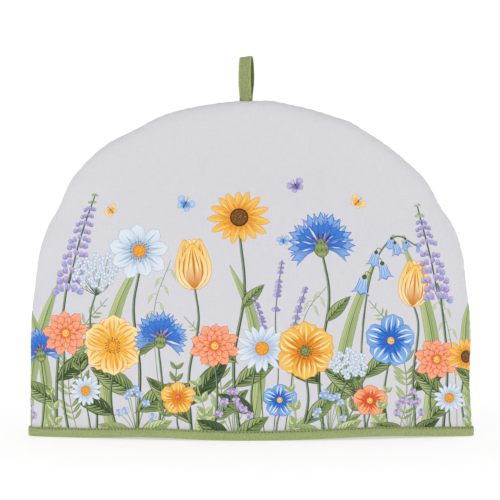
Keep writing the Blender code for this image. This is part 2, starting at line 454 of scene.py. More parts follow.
@dataclass(frozen=True)
class Leaf(Motif):
    """A broad leaf with a midrib and side ribs."""

    root: Point
    angle: float
    length: float
    width: float
    bend: float = 0.0
    ribs: int = 8
    inks: Inks = FOLIAGE
    fullness: float = 0.45

    def draw(self, art: Artwork) -> None:
        """Paints the leaf, its two halves in different tones and its ribs as wedge strokes.

        Args:
            art: The artwork to paint on.
        """
        leaf = Petal(self.root, self.angle, self.length, self.width, self.fullness, 0.95, self.bend)
        steps = 9 if self.length > 14 else 5
        art.shape(leaf.grown(0.4 if steps > 5 else 0.22).outline(steps), self.inks.line)
        art.shape(leaf.outline(steps), self.inks.base)
        along = np.linspace(0, 1, steps)
        art.shape(np.concatenate([leaf.at(along, 0.9), leaf.at(along[::-1], 0.02)]), self.inks.light)
        climb = np.linspace(0, 1, 4)
        for number in range(self.ribs):
            foot = 0.07 + 0.8 * (number + art.vary(-0.2, 0.2)) / self.ribs
            for side in (-1, 1):
                reach = art.vary(0.72, 0.96)
                rib = leaf.at(foot + (0.15 + 0.07 * reach) * climb, side * reach * climb**0.85)
                heavy = min(self.width * 0.085, 1.25) * art.vary(0.75, 1.15)
                art.shape(ribbon(rib, np.array((1.0, 0.85, 0.55, 0.12)) * heavy), self.inks.dark)
                if self.width > 12 and art.chance.random() < 0.6:
                    glint = leaf.at(foot + 0.045 + 0.2 * climb[1:], side * 0.8 * climb[1:] ** 0.85)
                    art.line(glint, 0.3, Ink.PALE_LEAF, 0.8)
        art.line(leaf.at(np.linspace(-0.06, 0.96, 6), 0.0), min(self.width * 0.07, 0.85), self.inks.line, 0.5)


@dataclass(frozen=True)
class Sprig(Motif):
    """A stem with a row of small leaves on each side."""

    points: tuple[Point, ...]
    leaf: float = 11.0
    slim: float = 0.36
    pairs: int = 5
    spread: float = 48.0
    width: float = 1.1
    inks: Inks = FOLIAGE
    start: float = 0.15
    ribs: int = 3

    def draw(self, art: Artwork) -> None:
        """Paints the stem, then its leaves from the lowest up.

        Args:
            art: The artwork to paint on.
        """
        Stem(self.points, self.width, self.inks).draw(art)
        path = smooth_line(self.points)
        for number in range(self.pairs):
            share = self.start + (0.98 - self.start) * number / max(self.pairs - 1, 1)
            place, along = station(path, share)
            size = self.leaf * (1 - 0.45 * share) * art.vary(0.9, 1.1)
            for side in (-1, 1):
                angle = along + side * (self.spread + art.vary(-7, 7))
                Leaf(place, angle, size, size * self.slim, -0.14 * side, self.ribs, self.inks).draw(art)


@dataclass(frozen=True)
class Fern(Motif):
    """An arching frond of narrow leaflets."""

    points: tuple[Point, ...]
    leaflet: float = 12.0
    pairs: int = 16
    inks: Inks = YOUNG

    def draw(self, art: Artwork) -> None:
        """Paints the leaflets, then the rib over their roots.

        Args:
            art: The artwork to paint on.
        """
        path = smooth_line(self.points, 9)
        for number in range(self.pairs):
            share = 0.12 + 0.86 * number / self.pairs
            place, along = station(path, share)
            size = self.leaflet * math.sin(math.pi * (0.15 + 0.82 * share)) ** 0.9
            for side in (-1, 1):
                leaflet = Petal(place, along + side * 62, size, size * 0.25, 0.5, 0.8, -0.2 * side)
                art.shape(leaflet.outline(6), self.inks.base if side > 0 else self.inks.dark)
                art.line(leaflet.at(np.linspace(0.1, 0.85, 4), 0.0), 0.28, self.inks.light, 0.5)
        art.line(path, 0.85, self.inks.line, 0.4)


@dataclass(frozen=True)
class OpenFlower(Motif):
    """A flower that faces the viewer, of one or more rings of petals round an eye."""

    centre: Point
    radius: float
    petals: int
    inks: Inks
    eye: float = 0.2
    eye_inks: Inks = GOLD
    rings: tuple[float, ...] = (1.0,)
    broad: float = 1.15
    blunt: float = 0.45
    fullness: float = 0.66
    frill: float = 0.0
    veins: int = 4
    squash: float = 0.12
    tilt: float = 90.0
    stamens: int = 0
    stamen_ink: Ink = Ink.NAVY

    def draw(self, art: Artwork) -> None:
        """Paints the rings from the outermost in, then the eye and the stamens.

        Args:
            art: The artwork to paint on.
        """
        for ring, share in enumerate(self.rings):
            reach = self.radius * share
            width = 2 * math.pi * reach / self.petals * 0.62 * self.broad
            for number in (*range(0, self.petals, 2), *range(1, self.petals, 2)):
                angle = 360 * (number + 0.5 * ring) / self.petals + art.vary(-4, 4) + self.tilt
                shorter = 1 - self.squash * math.cos(math.radians(angle - self.tilt)) ** 2
                length = reach * shorter * art.vary(0.93, 1.05)
                wide, bend = width * art.vary(0.92, 1.06), art.vary(-0.05, 0.05)
                petal = Petal(self.centre, angle, length, wide, self.fullness, self.blunt, bend, self.frill)
                petal.paint(art, self.inks, self.veins)
        self.paint_eye(art)

    def paint_eye(self, art: Artwork) -> None:
        """Paints the disc of florets in the middle, and the stamens round it.

        Args:
            art: The artwork to paint on.
        """
        size = self.radius * self.eye
        for number in range(self.stamens):
            turn = 2 * math.pi * (number + art.vary(-0.3, 0.3)) / self.stamens
            reach = size * art.vary(1.25, 1.75)
            tip = self.centre + reach * ray(turn)
            art.line(np.linspace(self.centre, tip, 3), 0.24, self.stamen_ink)
            art.dot(tip, 0.48, self.stamen_ink, 5)
        art.dot(self.centre, size * 1.08, self.eye_inks.dark, 14)
        art.dot(self.centre, size * 0.92, self.eye_inks.base, 14)
        florets = 9 + size * 4
        for number in range(int(florets)):
            reach = size * 0.9 * math.sqrt((number + 0.5) / florets)
            ink = (self.eye_inks.light, self.eye_inks.dark, self.eye_inks.line)[number % 3]
            art.dot(self.centre + reach * ray(number * GOLDEN_TURN), 0.3 + 0.22 * art.chance.random(), ink, 4)


@dataclass(frozen=True)
class Tulip(Motif):
    """A cup-shaped flower seen from the side, flamed in a second ink."""

    foot: Point
    height: float
    inks: Inks = FLAME
    lean: float = 0.0

    def draw(self, art: Artwork) -> None:
        """Paints the back petals, the sides and then the front one.

        Args:
            art: The artwork to paint on.
        """
        up = 90 + self.lean
        back = Inks(self.inks.line, self.inks.line, self.inks.dark, self.inks.base)
        for turn, inks in ((-9, back), (9, back), (-23, self.inks), (23, self.inks), (0, self.inks)):
            size = self.height * (0.97 if turn else 0.9) * (1.02 if inks is back else 1.0)
            width = self.height * (0.5 if turn else 0.56)
            petal = Petal(self.foot, up + turn, size, width, 0.42, 0.72, -0.011 * turn)
            petal.paint(art, inks, 5, 0.36)
            for across in (-0.45, 0.0, 0.4):
                flame = petal.vein(0.35, 0.92, across, 0.5)
                art.line(flame, self.height * 0.028, self.inks.dark, 0.9)


@dataclass(frozen=True)
class Cornflower(Motif):
    """A ragged flower on a scaly cup, seen from the side."""

    foot: Point
    radius: float
    lean: float = 0.0
    inks: Inks = SAPPHIRE

    def draw(self, art: Artwork) -> None:
        """Paints the fan of florets, the inner ones and the cup.

        Args:
            art: The artwork to paint on.
        """
        up = 90 + self.lean
        sway = 0.25 * self.radius * math.sin(math.radians(self.lean))
        heart = (self.foot[0] - sway, self.foot[1] + 0.38 * self.radius)
        for ring, (count, share, spread) in enumerate(((11, 1.0, 112), (9, 0.8, 84))):
            for number in range(count):
                angle = up + spread * (2 * number / (count - 1) - 1) + art.vary(-5, 5)
                self.paint_floret(art, heart, angle, self.radius * share * art.vary(0.9, 1.08), ring)
        for number in range(14):
            angle = up + 66 * (2 * number / 13 - 1) + art.vary(-5, 5)
            tip = Petal(heart, angle, self.radius * art.vary(0.3, 0.5), 1.5, 0.6, 0.8)
            art.shape(tip.outline(4), (Ink.GRAPE, Ink.LILAC, Ink.NAVY)[number % 3])
        cup = Petal(self.foot, up, self.radius * 0.62, self.radius * 0.46, 0.4, 0.75)
        cup.stamp(art, Ink.PINE, Ink.LEAF, edge=0.3)
        for row in range(4):
            for across in np.linspace(-0.7, 0.7, 4 - row % 2):
                scale = Petal(cup.at(0.1 + 0.2 * row, across), up - 10 * across, 1.9, 1.2, 0.5, 0.8)
                art.shape(scale.outline(4), Ink.FOREST if row % 2 else Ink.SAGE)

    def paint_floret(
        self, art: Artwork, root: Point, angle: float, length: float, ring: int
    ) -> None:
        """Paints one trumpet with a toothed mouth.

        Args:
            art: The artwork to paint on.
            root: Where it starts.
            angle: Which way it points, in degrees.
            length: How long it is.
            ring: 0 for an outer floret, 1 for an inner one.
        """
        flare = length * 0.42
        along = np.array((0.1, 0.5, 0.78, 1.0, 0.86, 1.06, 0.86, 1.0, 0.78, 0.5, 0.1)) * length
        across = np.array((-0.1, -0.13, -0.34, -0.52, -0.2, 0.0, 0.2, 0.52, 0.34, 0.13, 0.1)) * flare
        outline = columns(along, across * art.vary(0.85, 1.2))
        art.shape(turned(outline * (1.04, 1.16), angle, root), self.inks.line)
        trumpet = turned(outline, angle, root)
        art.shape(trumpet, self.inks.base if ring else self.inks.light, self.inks.dark, (trumpet[5], root))
        for lane in (-0.16, 0.14):
            vein = columns(np.linspace(0.3, 0.9, 4) * length, np.linspace(0, lane, 4) * flare * 2)
            art.line(turned(vein, angle, root), 0.34, self.inks.dark, 0.6)


@dataclass(frozen=True)
class Lupin(Motif):
    """A tall spike of pea flowers that get smaller towards its tip."""

    points: tuple[Point, ...]
    width: float = 19.0
    rows: int = 12
    inks: Inks = VIOLET

    def draw(self, art: Artwork) -> None:
        """Paints the rows of flowers from the top down, so that lower ones lie over upper ones.

        Args:
            art: The artwork to paint on.
        """
        path = smooth_line(self.points, 8)
        art.line(path, 1.3, Ink.FOREST, 0.3)
        for row in reversed(range(self.rows)):
            share = row / (self.rows - 1)
            place, _ = station(path, share)
            reach = self.width / 2 * (1 - share**1.6) + 1.2
            size = 5.6 * (1 - 0.62 * share)
            lanes = (-0.8, 0.8, -0.3, 0.35) if row % 2 else (-1.0, 1.0, -0.5, 0.5, 0.0)
            for lane in lanes:
                root = (place[0] + lane * reach * 0.55, place[1] + art.vary(-0.8, 0.8) - abs(lane) * 0.8)
                angle = 90 - lane * 62 + art.vary(-10, 10)
                keel = Petal(root, angle - 28 * (1 if lane >= 0 else -1), size * 0.95, size * 0.5, 0.6, 0.7)
                banner = Petal(root, angle, size * 1.05, size * 0.72, 0.66, 0.5)
                if share > 0.86:
                    art.shape(banner.outline(5), Ink.SAGE)
                    continue
                keel.stamp(art, self.inks.dark, self.inks.base if row % 3 else Ink.SKY, 5)
                art.shape(banner.grown(0.2).outline(6), self.inks.dark)
                art.shape(banner.outline(6), self.inks.light, self.inks.base, (banner.at(1.0, 0.0), root))
                art.line(banner.vein(0.15, 0.7, 0.0), 0.35, self.inks.dark, 0.6)


@dataclass(frozen=True)
class Lavender(Motif):
    """A slim stem that ends in whorls of small buds."""

    points: tuple[Point, ...]
    spike: float = 26.0
    inks: Inks = VIOLET

    def draw(self, art: Artwork) -> None:
        """Paints the stem and the whorls on its last stretch.

        Args:
            art: The artwork to paint on.
        """
        path = smooth_line(self.points, 12)
        art.line(path, 0.8, Ink.FOREST, 0.2)
        left = run_of(path[::-1])[1:]
        whorls = 8
        for number in range(whorls):
            gap = self.spike * (1 - number / whorls) + (3.0 if number == 0 else 0.0)
            place = path[::-1][int(np.searchsorted(left, gap))]
            size = 3.6 * (1 - 0.4 * number / whorls)
            for turn in (-68, 66, -34, 30, -4):
                bud = Petal(place, 90 + turn + art.vary(-8, 8), size, size * 0.52, 0.6, 0.6)
                bud.stamp(art, self.inks.dark, self.inks.base if turn < 0 else self.inks.light, 5, 0.16)
            art.line(np.array([place, place + (0.0, size * 0.55)]), 0.5, Ink.LEAF)


@dataclass(frozen=True)
class Umbel(Motif):
    """A lacy round head of tiny white flowers on thin rays."""

    foot: Point
    radius: float
    heads: int = 21

    def draw(self, art: Artwork) -> None:
        """Paints a pale ground, the rays and then the small heads.

        Args:
            art: The artwork to paint on.
        """
        centre = self.foot + np.array((0.0, self.radius * 0.92))
        places = []
        for number in range(self.heads):
            reach = self.radius * 0.84 * math.sqrt((number + 0.4) / self.heads)
            places.append(centre + reach * (ray(number * GOLDEN_TURN) * (1.12, 0.8)))
        for place in places:
            middle = (place + self.foot) / 2 + ((place[0] - self.foot[0]) * 0.12, -1.2)
            art.line(smooth_line([self.foot, middle, place], 3), 0.36, Ink.FOREST)
        for place in places:
            for number in range(6):
                spot = place + 1.75 * ray(number * math.pi / 3 + place[0])
                art.dot(spot, 1.22, Ink.MIST, 6)
                art.dot(spot, 0.98, Ink.FROST if number % 2 else Ink.ICE, 6)
            art.dot(place, 0.95, Ink.FROST, 6)
            art.dot(place, 0.42, Ink.NAVY if art.chance.random() < 0.5 else Ink.FOREST, 5)


@dataclass(frozen=True)
class BellSpray(Motif):
    """An arching stem with a row of hanging bells."""

    points: tuple[Point, ...]
    bells: int = 6
    size: float = 9.0
    inks: Inks = AZURE

    def draw(self, art: Artwork) -> None:
        """Paints the stem and its bells, the smallest at the tip.

        Args:
            art: The artwork to paint on.
        """
        Stem(self.points, 1.4).draw(art)
        path = smooth_line(self.points, 12)
        for number in range(self.bells):
            place, _ = station(path, 0.5 + 0.49 * number / (self.bells - 1))
            side = 1 if number % 2 else -1
            size = self.size * (1 - 0.09 * number)
            hang = place + (side * size * 0.42, -size * 0.2)
            bow = place + (side * size * 0.3, size * 0.12)
            art.line(smooth_line([place, bow, hang], 4), 0.5, Ink.FOREST)
            self.paint_bell(art, hang, size, -90 + side * 14)

    def paint_bell(self, art: Artwork, top: Array, size: float, angle: float) -> None:
        """Paints one bell.

        Args:
            art: The artwork to paint on.
            top: Where it hangs from.
            size: How long it is.
            angle: Which way it points, in degrees.
        """
        along = np.array((0.0, 0.12, 0.5, 0.82, 1.02, 0.9, 1.08, 0.9, 1.02, 0.82, 0.5, 0.12)) * size
        across = np.array((0.0, 0.24, 0.28, 0.36, 0.52, 0.2, 0.0, -0.2, -0.52, -0.36, -0.28, -0.24)) * size
        outline = columns(along, across)
        art.shape(turned(outline * (1.05, 1.14), angle, top), self.inks.line)
        bell = turned(outline, angle, top)
        art.shape(bell, self.inks.base, self.inks.light, (bell[6], top))
        for lane in (-0.2, 0.0, 0.2):
            vein = columns(np.linspace(0.12, 0.86, 4) * size, np.array((0.4, 0.8, 1.0, 1.4)) * lane * size)
            art.line(turned(vein, angle, top), 0.45, self.inks.dark, 0.6)
        art.dot(top, size * 0.16, Ink.FOREST, 7)


@dataclass(frozen=True)
class Oat(Motif):
    """A fine stalk of grass with hanging seed husks."""

    points: tuple[Point, ...]
    husks: int = 9
    size: float = 6.5
    inks: Inks = YOUNG

    def draw(self, art: Artwork) -> None:
        """Paints the stalk and the husks on its upper half.

        Args:
            art: The artwork to paint on.
        """
        path = smooth_line(self.points, 12)
        art.line(path, 0.6, self.inks.dark, 0.3)
        for number in range(self.husks):
            place, _ = station(path, 0.45 + 0.54 * number / self.husks)
            side = 1 if number % 2 else -1
            end = place + (side * art.vary(3.0, 5.0), art.vary(-1.0, 1.5))
            art.line(np.array([place, (place + end) / 2 + (0, 1.1), end]), 0.3, self.inks.dark)
            husk = Petal(end, -90 + side * 22, self.size * art.vary(0.85, 1.1), 2.1, 0.4, 0.9)
            husk.stamp(art, self.inks.line, self.inks.light, 5)
            art.line(husk.vein(0.1, 1.25, 0.0), 0.26, self.inks.dark)


@dataclass(frozen=True)
class Posy(Motif):
    """A cluster of tiny five-petalled flowers on short stalks."""

    root: Point
    height: float
    spread: float
    flowers: int = 8
    size: float = 2.7
    inks: Inks = AZURE

    def draw(self, art: Artwork) -> None:
        """Paints the stalks and then the flowers.

        Args:
            art: The artwork to paint on.
        """
        places = []
        for number in range(self.flowers):
            share = 2 * number / (self.flowers - 1) - 1
            tip = (
                self.root[0] + self.spread * share + art.vary(-1.5, 1.5),
                self.root[1] + self.height * (1 - 0.45 * share * share) * art.vary(0.72, 1.05),
            )
            places.append(tip)
            middle = ((self.root[0] * 1.2 + tip[0] * 0.8) / 2, (self.root[1] + tip[1]) / 2)
            art.line(smooth_line([self.root, middle, tip], 5), 0.5, Ink.LEAF)
        for tip in places:
            spin = art.vary(0, 72)
            for number in range(5):
                petal = Petal(tip, spin + 72 * number, self.size, self.size * 0.85, 0.66, 0.5)
                petal.stamp(art, self.inks.line, self.inks.base if number % 2 else self.inks.light, 4, 0.16)
            art.dot(tip, 0.7, Ink.AMBER, 6)


@dataclass(frozen=True)
class Butterfly(Motif):
    """A small butterfly in flight."""

    centre: Point
    size: float
    angle: float
    inks: Inks = AZURE

    def draw(self, art: Artwork) -> None:
        """Paints four wings, the body and the feelers.

        Args:
            art: The artwork to paint on.
        """
        for turn, share in ((128, 0.72), (-128, 0.72), (58, 1.0), (-58, 1.0)):
            size = self.size * share
            wing = Petal(self.centre, self.angle + turn, size, size * 0.72, 0.7, 0.5)
            wing.paint(art, self.inks, 3, 0.22)
        body = Petal(self.centre, self.angle, self.size * 0.5, self.size * 0.14, 0.5, 0.7)
        back = Petal(self.centre, self.angle + 180, self.size * 0.5, self.size * 0.12, 0.5, 0.7)
        for part in (body, back):
            art.shape(part.outline(5), Ink.NAVY)
        for turn in (-16, 16):
            feeler = Petal(body.at(0.9, 0.0), self.angle + turn, self.size * 0.45, 0.1)
            art.line(feeler.vein(0.0, 1.0, 0.0), 0.22, Ink.NAVY)


def daisy(centre: Point, radius: float, inks: Inks, **looks: Any) -> OpenFlower:
    """Makes a flower of many narrow rays."""
    return OpenFlower(centre, radius, 15, inks, broad=0.95, blunt=0.62, fullness=0.6, veins=2, **looks)


def border() -> Artwork:
    """Paints the whole flower border, from the back of the bed to its front.

    Returns:
        The artwork.
    """
    art = Artwork()
    cone = Inks(Ink.BARK, Ink.BARK, Ink.COCOA, Ink.ORANGE)
    frilled = {"broad": 1.3, "blunt": 0.42, "veins": 8, "frill": 0.05, "stamens": 20, "stamen_ink": Ink.BARK}
    saucer = {"broad": 1.18, "blunt": 0.42, "veins": 7, "frill": 0.03, "squash": 0.06}
    double = {"rings": (1.0, 0.76, 0.5), "broad": 1.05, "blunt": 0.5, "veins": 4, "frill": 0.04}
    bed: tuple[Motif, ...] = (
        # Far grasses, ferns and blades
        Blade(((-178, 0), (-172, 46), (-160, 88), (-148, 118)), 10.5),
        Blade(((-160, 0), (-158, 40), (-166, 80), (-175, 102)), 8.5),
        Fern(((-133, 0), (-140, 42), (-130, 80), (-108, 106)), 14.0, 17),
        Blade(((-106, 0), (-110, 52), (-100, 100), (-80, 140)), 10.0, BLADE, 5),
        Oat(((-62, 0), (-70, 52), (-72, 98), (-60, 134)), 10),
        Fern(((-30, 0), (-22, 34), (-30, 68), (-50, 92)), 12.0, 15),
        Blade(((0, 0), (6, 50), (0, 94), (-16, 130)), 9.0),
        Oat(((34, 0), (31, 48), (40, 92), (56, 114)), 9),
        Blade(((70, 0), (66, 44), (76, 92), (95, 138)), 9.5, BLADE, 5),
        Fern(((112, 0), (118, 40), (109, 78), (88, 104)), 13.0, 16),
        Blade(((133, 0), (140, 52), (133, 100), (114, 150)), 11.0, BLADE, 5),
        Blade(((176, 0), (168, 44), (166, 84), (172, 108)), 9.0),
        Oat(((160, 0), (158, 44), (150, 88), (136, 120)), 9),
        # Tall stems with their leaves
        Stem(((-151, 0), (-149, 54), (-142, 108), (-137, 128)), 2.2),
        Leaf((-150, 26), 146, 36, 14, 0.12, 9), Leaf((-149, 44), 40, 38, 14, -0.1, 9, SHADY),
        Lupin(((-140, 112), (-134, 138), (-127, 162), (-119, 184)), 23, 13),
        Stem(((-118, 0), (-116, 48), (-122, 88), (-117, 112)), 1.7),
        Umbel((-117, 108), 20, 26), Sprig(((-117, 16), (-128, 42), (-132, 64)), 15, 0.36, 5),
        Stem(((-86, 0), (-83, 50), (-88, 96), (-84, 124)), 2.4),
        Leaf((-85, 20), 34, 46, 18, -0.1, 11), Leaf((-86, 32), 142, 42, 16, 0.12, 10),
        Leaf((-87, 62), 50, 32, 11, -0.12, 8),
        OpenFlower((-84, 141), 23, 9, WHITE, eye=0.2, stamens=26, veins=5, frill=0.03),
        Stem(((-44, 0), (-46, 48), (-39, 86), (-42, 114)), 2.0),
        Leaf((-45, 12), 128, 48, 15, 0.1, 11), Leaf((-44, 26), 58, 46, 14, -0.1, 11, SHADY),
        Tulip((-42, 112), 38, FLAME, 4),
        Stem(((-8, 0), (-13, 56), (-5, 110), (-9, 156)), 2.4),
        Leaf((-12, 40), 38, 38, 14, -0.1, 9), Leaf((-11, 58), 144, 34, 12, 0.12, 8),
        Leaf((-7, 98), 52, 24, 8, -0.1, 6),
        daisy((-9, 166), 24, GOLD, eye=0.27, eye_inks=cone, squash=0.18),
        Lavender(((16, 0), (20, 50), (18, 92), (23, 134)), 36),
        Lavender(((24, 0), (30, 46), (32, 84), (41, 114)), 30),
        Lavender(((10, 0), (7, 44), (9, 80), (2, 106)), 28),
        Stem(((54, 0), (50, 52), (58, 104), (53, 140)), 2.3),
        Leaf((52, 26), 40, 44, 17, -0.1, 10), Leaf((51, 42), 140, 38, 14, 0.12, 9, SHADY),
        Leaf((56, 88), 52, 26, 8.5, -0.1, 6),
        Cornflower((53, 136), 23, 4),
        BellSpray(((86, 0), (82, 62), (90, 124), (108, 152), (126, 146)), 8, 12.5),
        Leaf((85, 30), 138, 40, 13, 0.1, 9), Leaf((84, 46), 44, 38, 13, -0.1, 9),
        Stem(((126, 0), (123, 46), (127, 84), (122, 104)), 2.0),
        Leaf((124, 36), 40, 34, 13, -0.1, 8, SHADY),
        Tulip((122, 100), 35, FLAME, -6),
        Stem(((148, 0), (151, 52), (146, 100), (142, 118)), 2.1),
        Leaf((150, 28), 134, 36, 14, 0.1, 9), Leaf((150, 54), 46, 28, 10, -0.1, 7),
        Lupin(((143, 106), (138, 132), (132, 156), (127, 176)), 22, 12),
        # The middle of the bed
        Stem(((-164, 0), (-160, 30), (-163, 62)), 1.7), Cornflower((-162, 58), 17.5, 8),
        Stem(((-140, 0), (-145, 34), (-143, 66)), 1.9),
        OpenFlower((-142, 80), 18.5, 9, SCARLET, 0.15, LEMON, **double),
        Stem(((-101, 0), (-106, 30), (-103, 56)), 2.1), Leaf((-104, 18), 150, 34, 13, 0.1, 8, SHADY),
        OpenFlower((-104, 70), 24, 6, LEMON, 0.15, GOLD, **frilled),
        Stem(((-70, 0), (-66, 36), (-69, 70)), 1.8), Sprig(((-68, 10), (-58, 34), (-55, 56)), 14, 0.38, 5),
        Cornflower((-68, 68), 18.5, -6),
        Stem(((-28, 0), (-25, 34), (-27, 58)), 1.8), Leaf((-26, 16), 48, 32, 12, -0.1, 8),
        OpenFlower((-27, 70), 18.5, 10, SCARLET, 0.15, LEMON, **double),
        Stem(((4, 0), (0, 30), (3, 56)), 1.9), Leaf((2, 20), 146, 30, 11, 0.1, 8, SHADY),
        daisy((8, 68), 20, WHITE, eye=0.24),
        Stem(((36, 0), (42, 28), (40, 50)), 2.1), Leaf((41, 12), 50, 32, 12, -0.1, 8),
        OpenFlower((40, 66), 23, 6, GOLD, 0.15, FOLIAGE, **frilled),
        Stem(((70, 0), (66, 28), (72, 46)), 1.7), Sprig(((68, 8), (78, 26), (80, 44)), 13, 0.38, 4),
        Umbel((73, 42), 15.5, 20),
        Stem(((104, 0), (100, 32), (104, 62)), 1.9), Leaf((101, 18), 140, 34, 13, 0.1, 8, SHADY),
        OpenFlower((105, 74), 20, 5, SAPPHIRE, 0.13, LEMON, **saucer),
        Stem(((142, 0), (137, 28), (141, 48)), 1.9), Leaf((138, 14), 46, 30, 12, -0.1, 8),
        OpenFlower((142, 60), 17.5, 9, SCARLET, 0.15, LEMON, **double),
        Stem(((168, 0), (163, 30), (167, 52)), 1.8), daisy((167, 62), 17, GOLD, eye=0.27, eye_inks=cone),
        Stem(((190, 0), (186, 40), (191, 84), (188, 110)), 2.2), Leaf((188, 30), 136, 38, 14, 0.1, 9),
        Leaf((188, 46), 44, 36, 13, -0.1, 9),
        OpenFlower((188, 122), 22, 9, WHITE, eye=0.2, stamens=26, veins=5, frill=0.03),
        # The front of the bed
        Posy((-178, 0), 34, 9, 6, 3.0, VIOLET),
        Sprig(((-157, 0), (-152, 16), (-155, 36)), 11, 0.6, 4, inks=YOUNG),
        Stem(((-122, 0), (-124, 16), (-126, 25)), 1.4), daisy((-126, 36), 13, WHITE, eye=0.28),
        Posy((-86, 0), 36, 12, 10, 3.0), Leaf((-88, 0), 152, 30, 11, 0.15, 7, YOUNG),
        Leaf((-84, 0), 36, 28, 11, -0.15, 7, YOUNG),
        Stem(((-52, 0), (-55, 12), (-54, 20)), 1.4),
        OpenFlower((-54, 31), 13, 5, GOLD, 0.17, SCARLET, **saucer),
        Sprig(((-38, 0), (-34, 18), (-41, 44)), 12, 0.62, 5, inks=YOUNG),
        Posy((-13, 0), 38, 11, 9, 3.0, VIOLET),
        Leaf((-16, 0), 140, 28, 12, 0.15, 7, SHADY), Leaf((-12, 0), 44, 30, 12, -0.15, 7),
        Stem(((18, 0), (19, 12), (21, 20)), 1.4),
        OpenFlower((21, 30), 12.5, 5, SAPPHIRE, 0.16, LEMON, **saucer),
        Sprig(((28, 0), (33, 16), (28, 40)), 11, 0.6, 4, inks=YOUNG), Posy((58, 0), 36, 11, 9, 3.0),
        Leaf((54, 0), 148, 28, 10, 0.15, 7, YOUNG), Leaf((60, 0), 38, 26, 10, -0.15, 7, YOUNG),
        Stem(((86, 0), (87, 10), (89, 18)), 1.4),
        OpenFlower((89, 28), 13, 5, SCARLET, 0.17, LEMON, **saucer),
        Sprig(((99, 0), (96, 16), (103, 38)), 11, 0.6, 4, inks=YOUNG),
        Posy((121, 0), 34, 10, 8, 3.0, VIOLET),
        Leaf((118, 0), 150, 26, 10, 0.15, 7), Leaf((123, 0), 40, 26, 10, -0.15, 7, SHADY),
        Stem(((157, 0), (154, 10), (153, 20)), 1.4), daisy((153, 30), 13, WHITE, eye=0.28),
        Posy((178, 0), 32, 9, 7, 3.0), Sprig(((168, 0), (172, 14), (167, 34)), 10, 0.6, 4, inks=YOUNG),
        # What flies above it
        Butterfly((-50, 176), 7.5, 62), Butterfly((34, 190), 7.0, 118, VIOLET),
        Butterfly((80, 178), 6.5, 48, LEMON),
        Butterfly((24, 148), 5.0, 100), Butterfly((-106, 172), 5.5, 130, LEMON),
        Butterfly((206, 170), 6.5, 120),
    )
    for number, motif in enumerate(bed):
        art.chance = random.Random(100 + number)
        motif.draw(art)
    return art


# The shape of the cloth


def between(table: Array, row: Array, column: Array) -> Array:
    """Reads a table between its rows and columns.

    Args:
        table: The table.
        row: The places down it.
        column: The places across it.

    Returns:
        One value for each place.
    """
    low_row = np.minimum(row.astype(int), len(table) - 2)
    low_column = np.minimum(column.astype(int), table.shape[1] - 2)
    up, on = row - low_row, column - low_column
    low = table[low_row, low_column] * (1 - on) + table[low_row, low_column + 1] * on
    high = table[low_row + 1, low_column] * (1 - on) + table[low_row + 1, low_column + 1] * on
    return low * (1 - up) + high * up


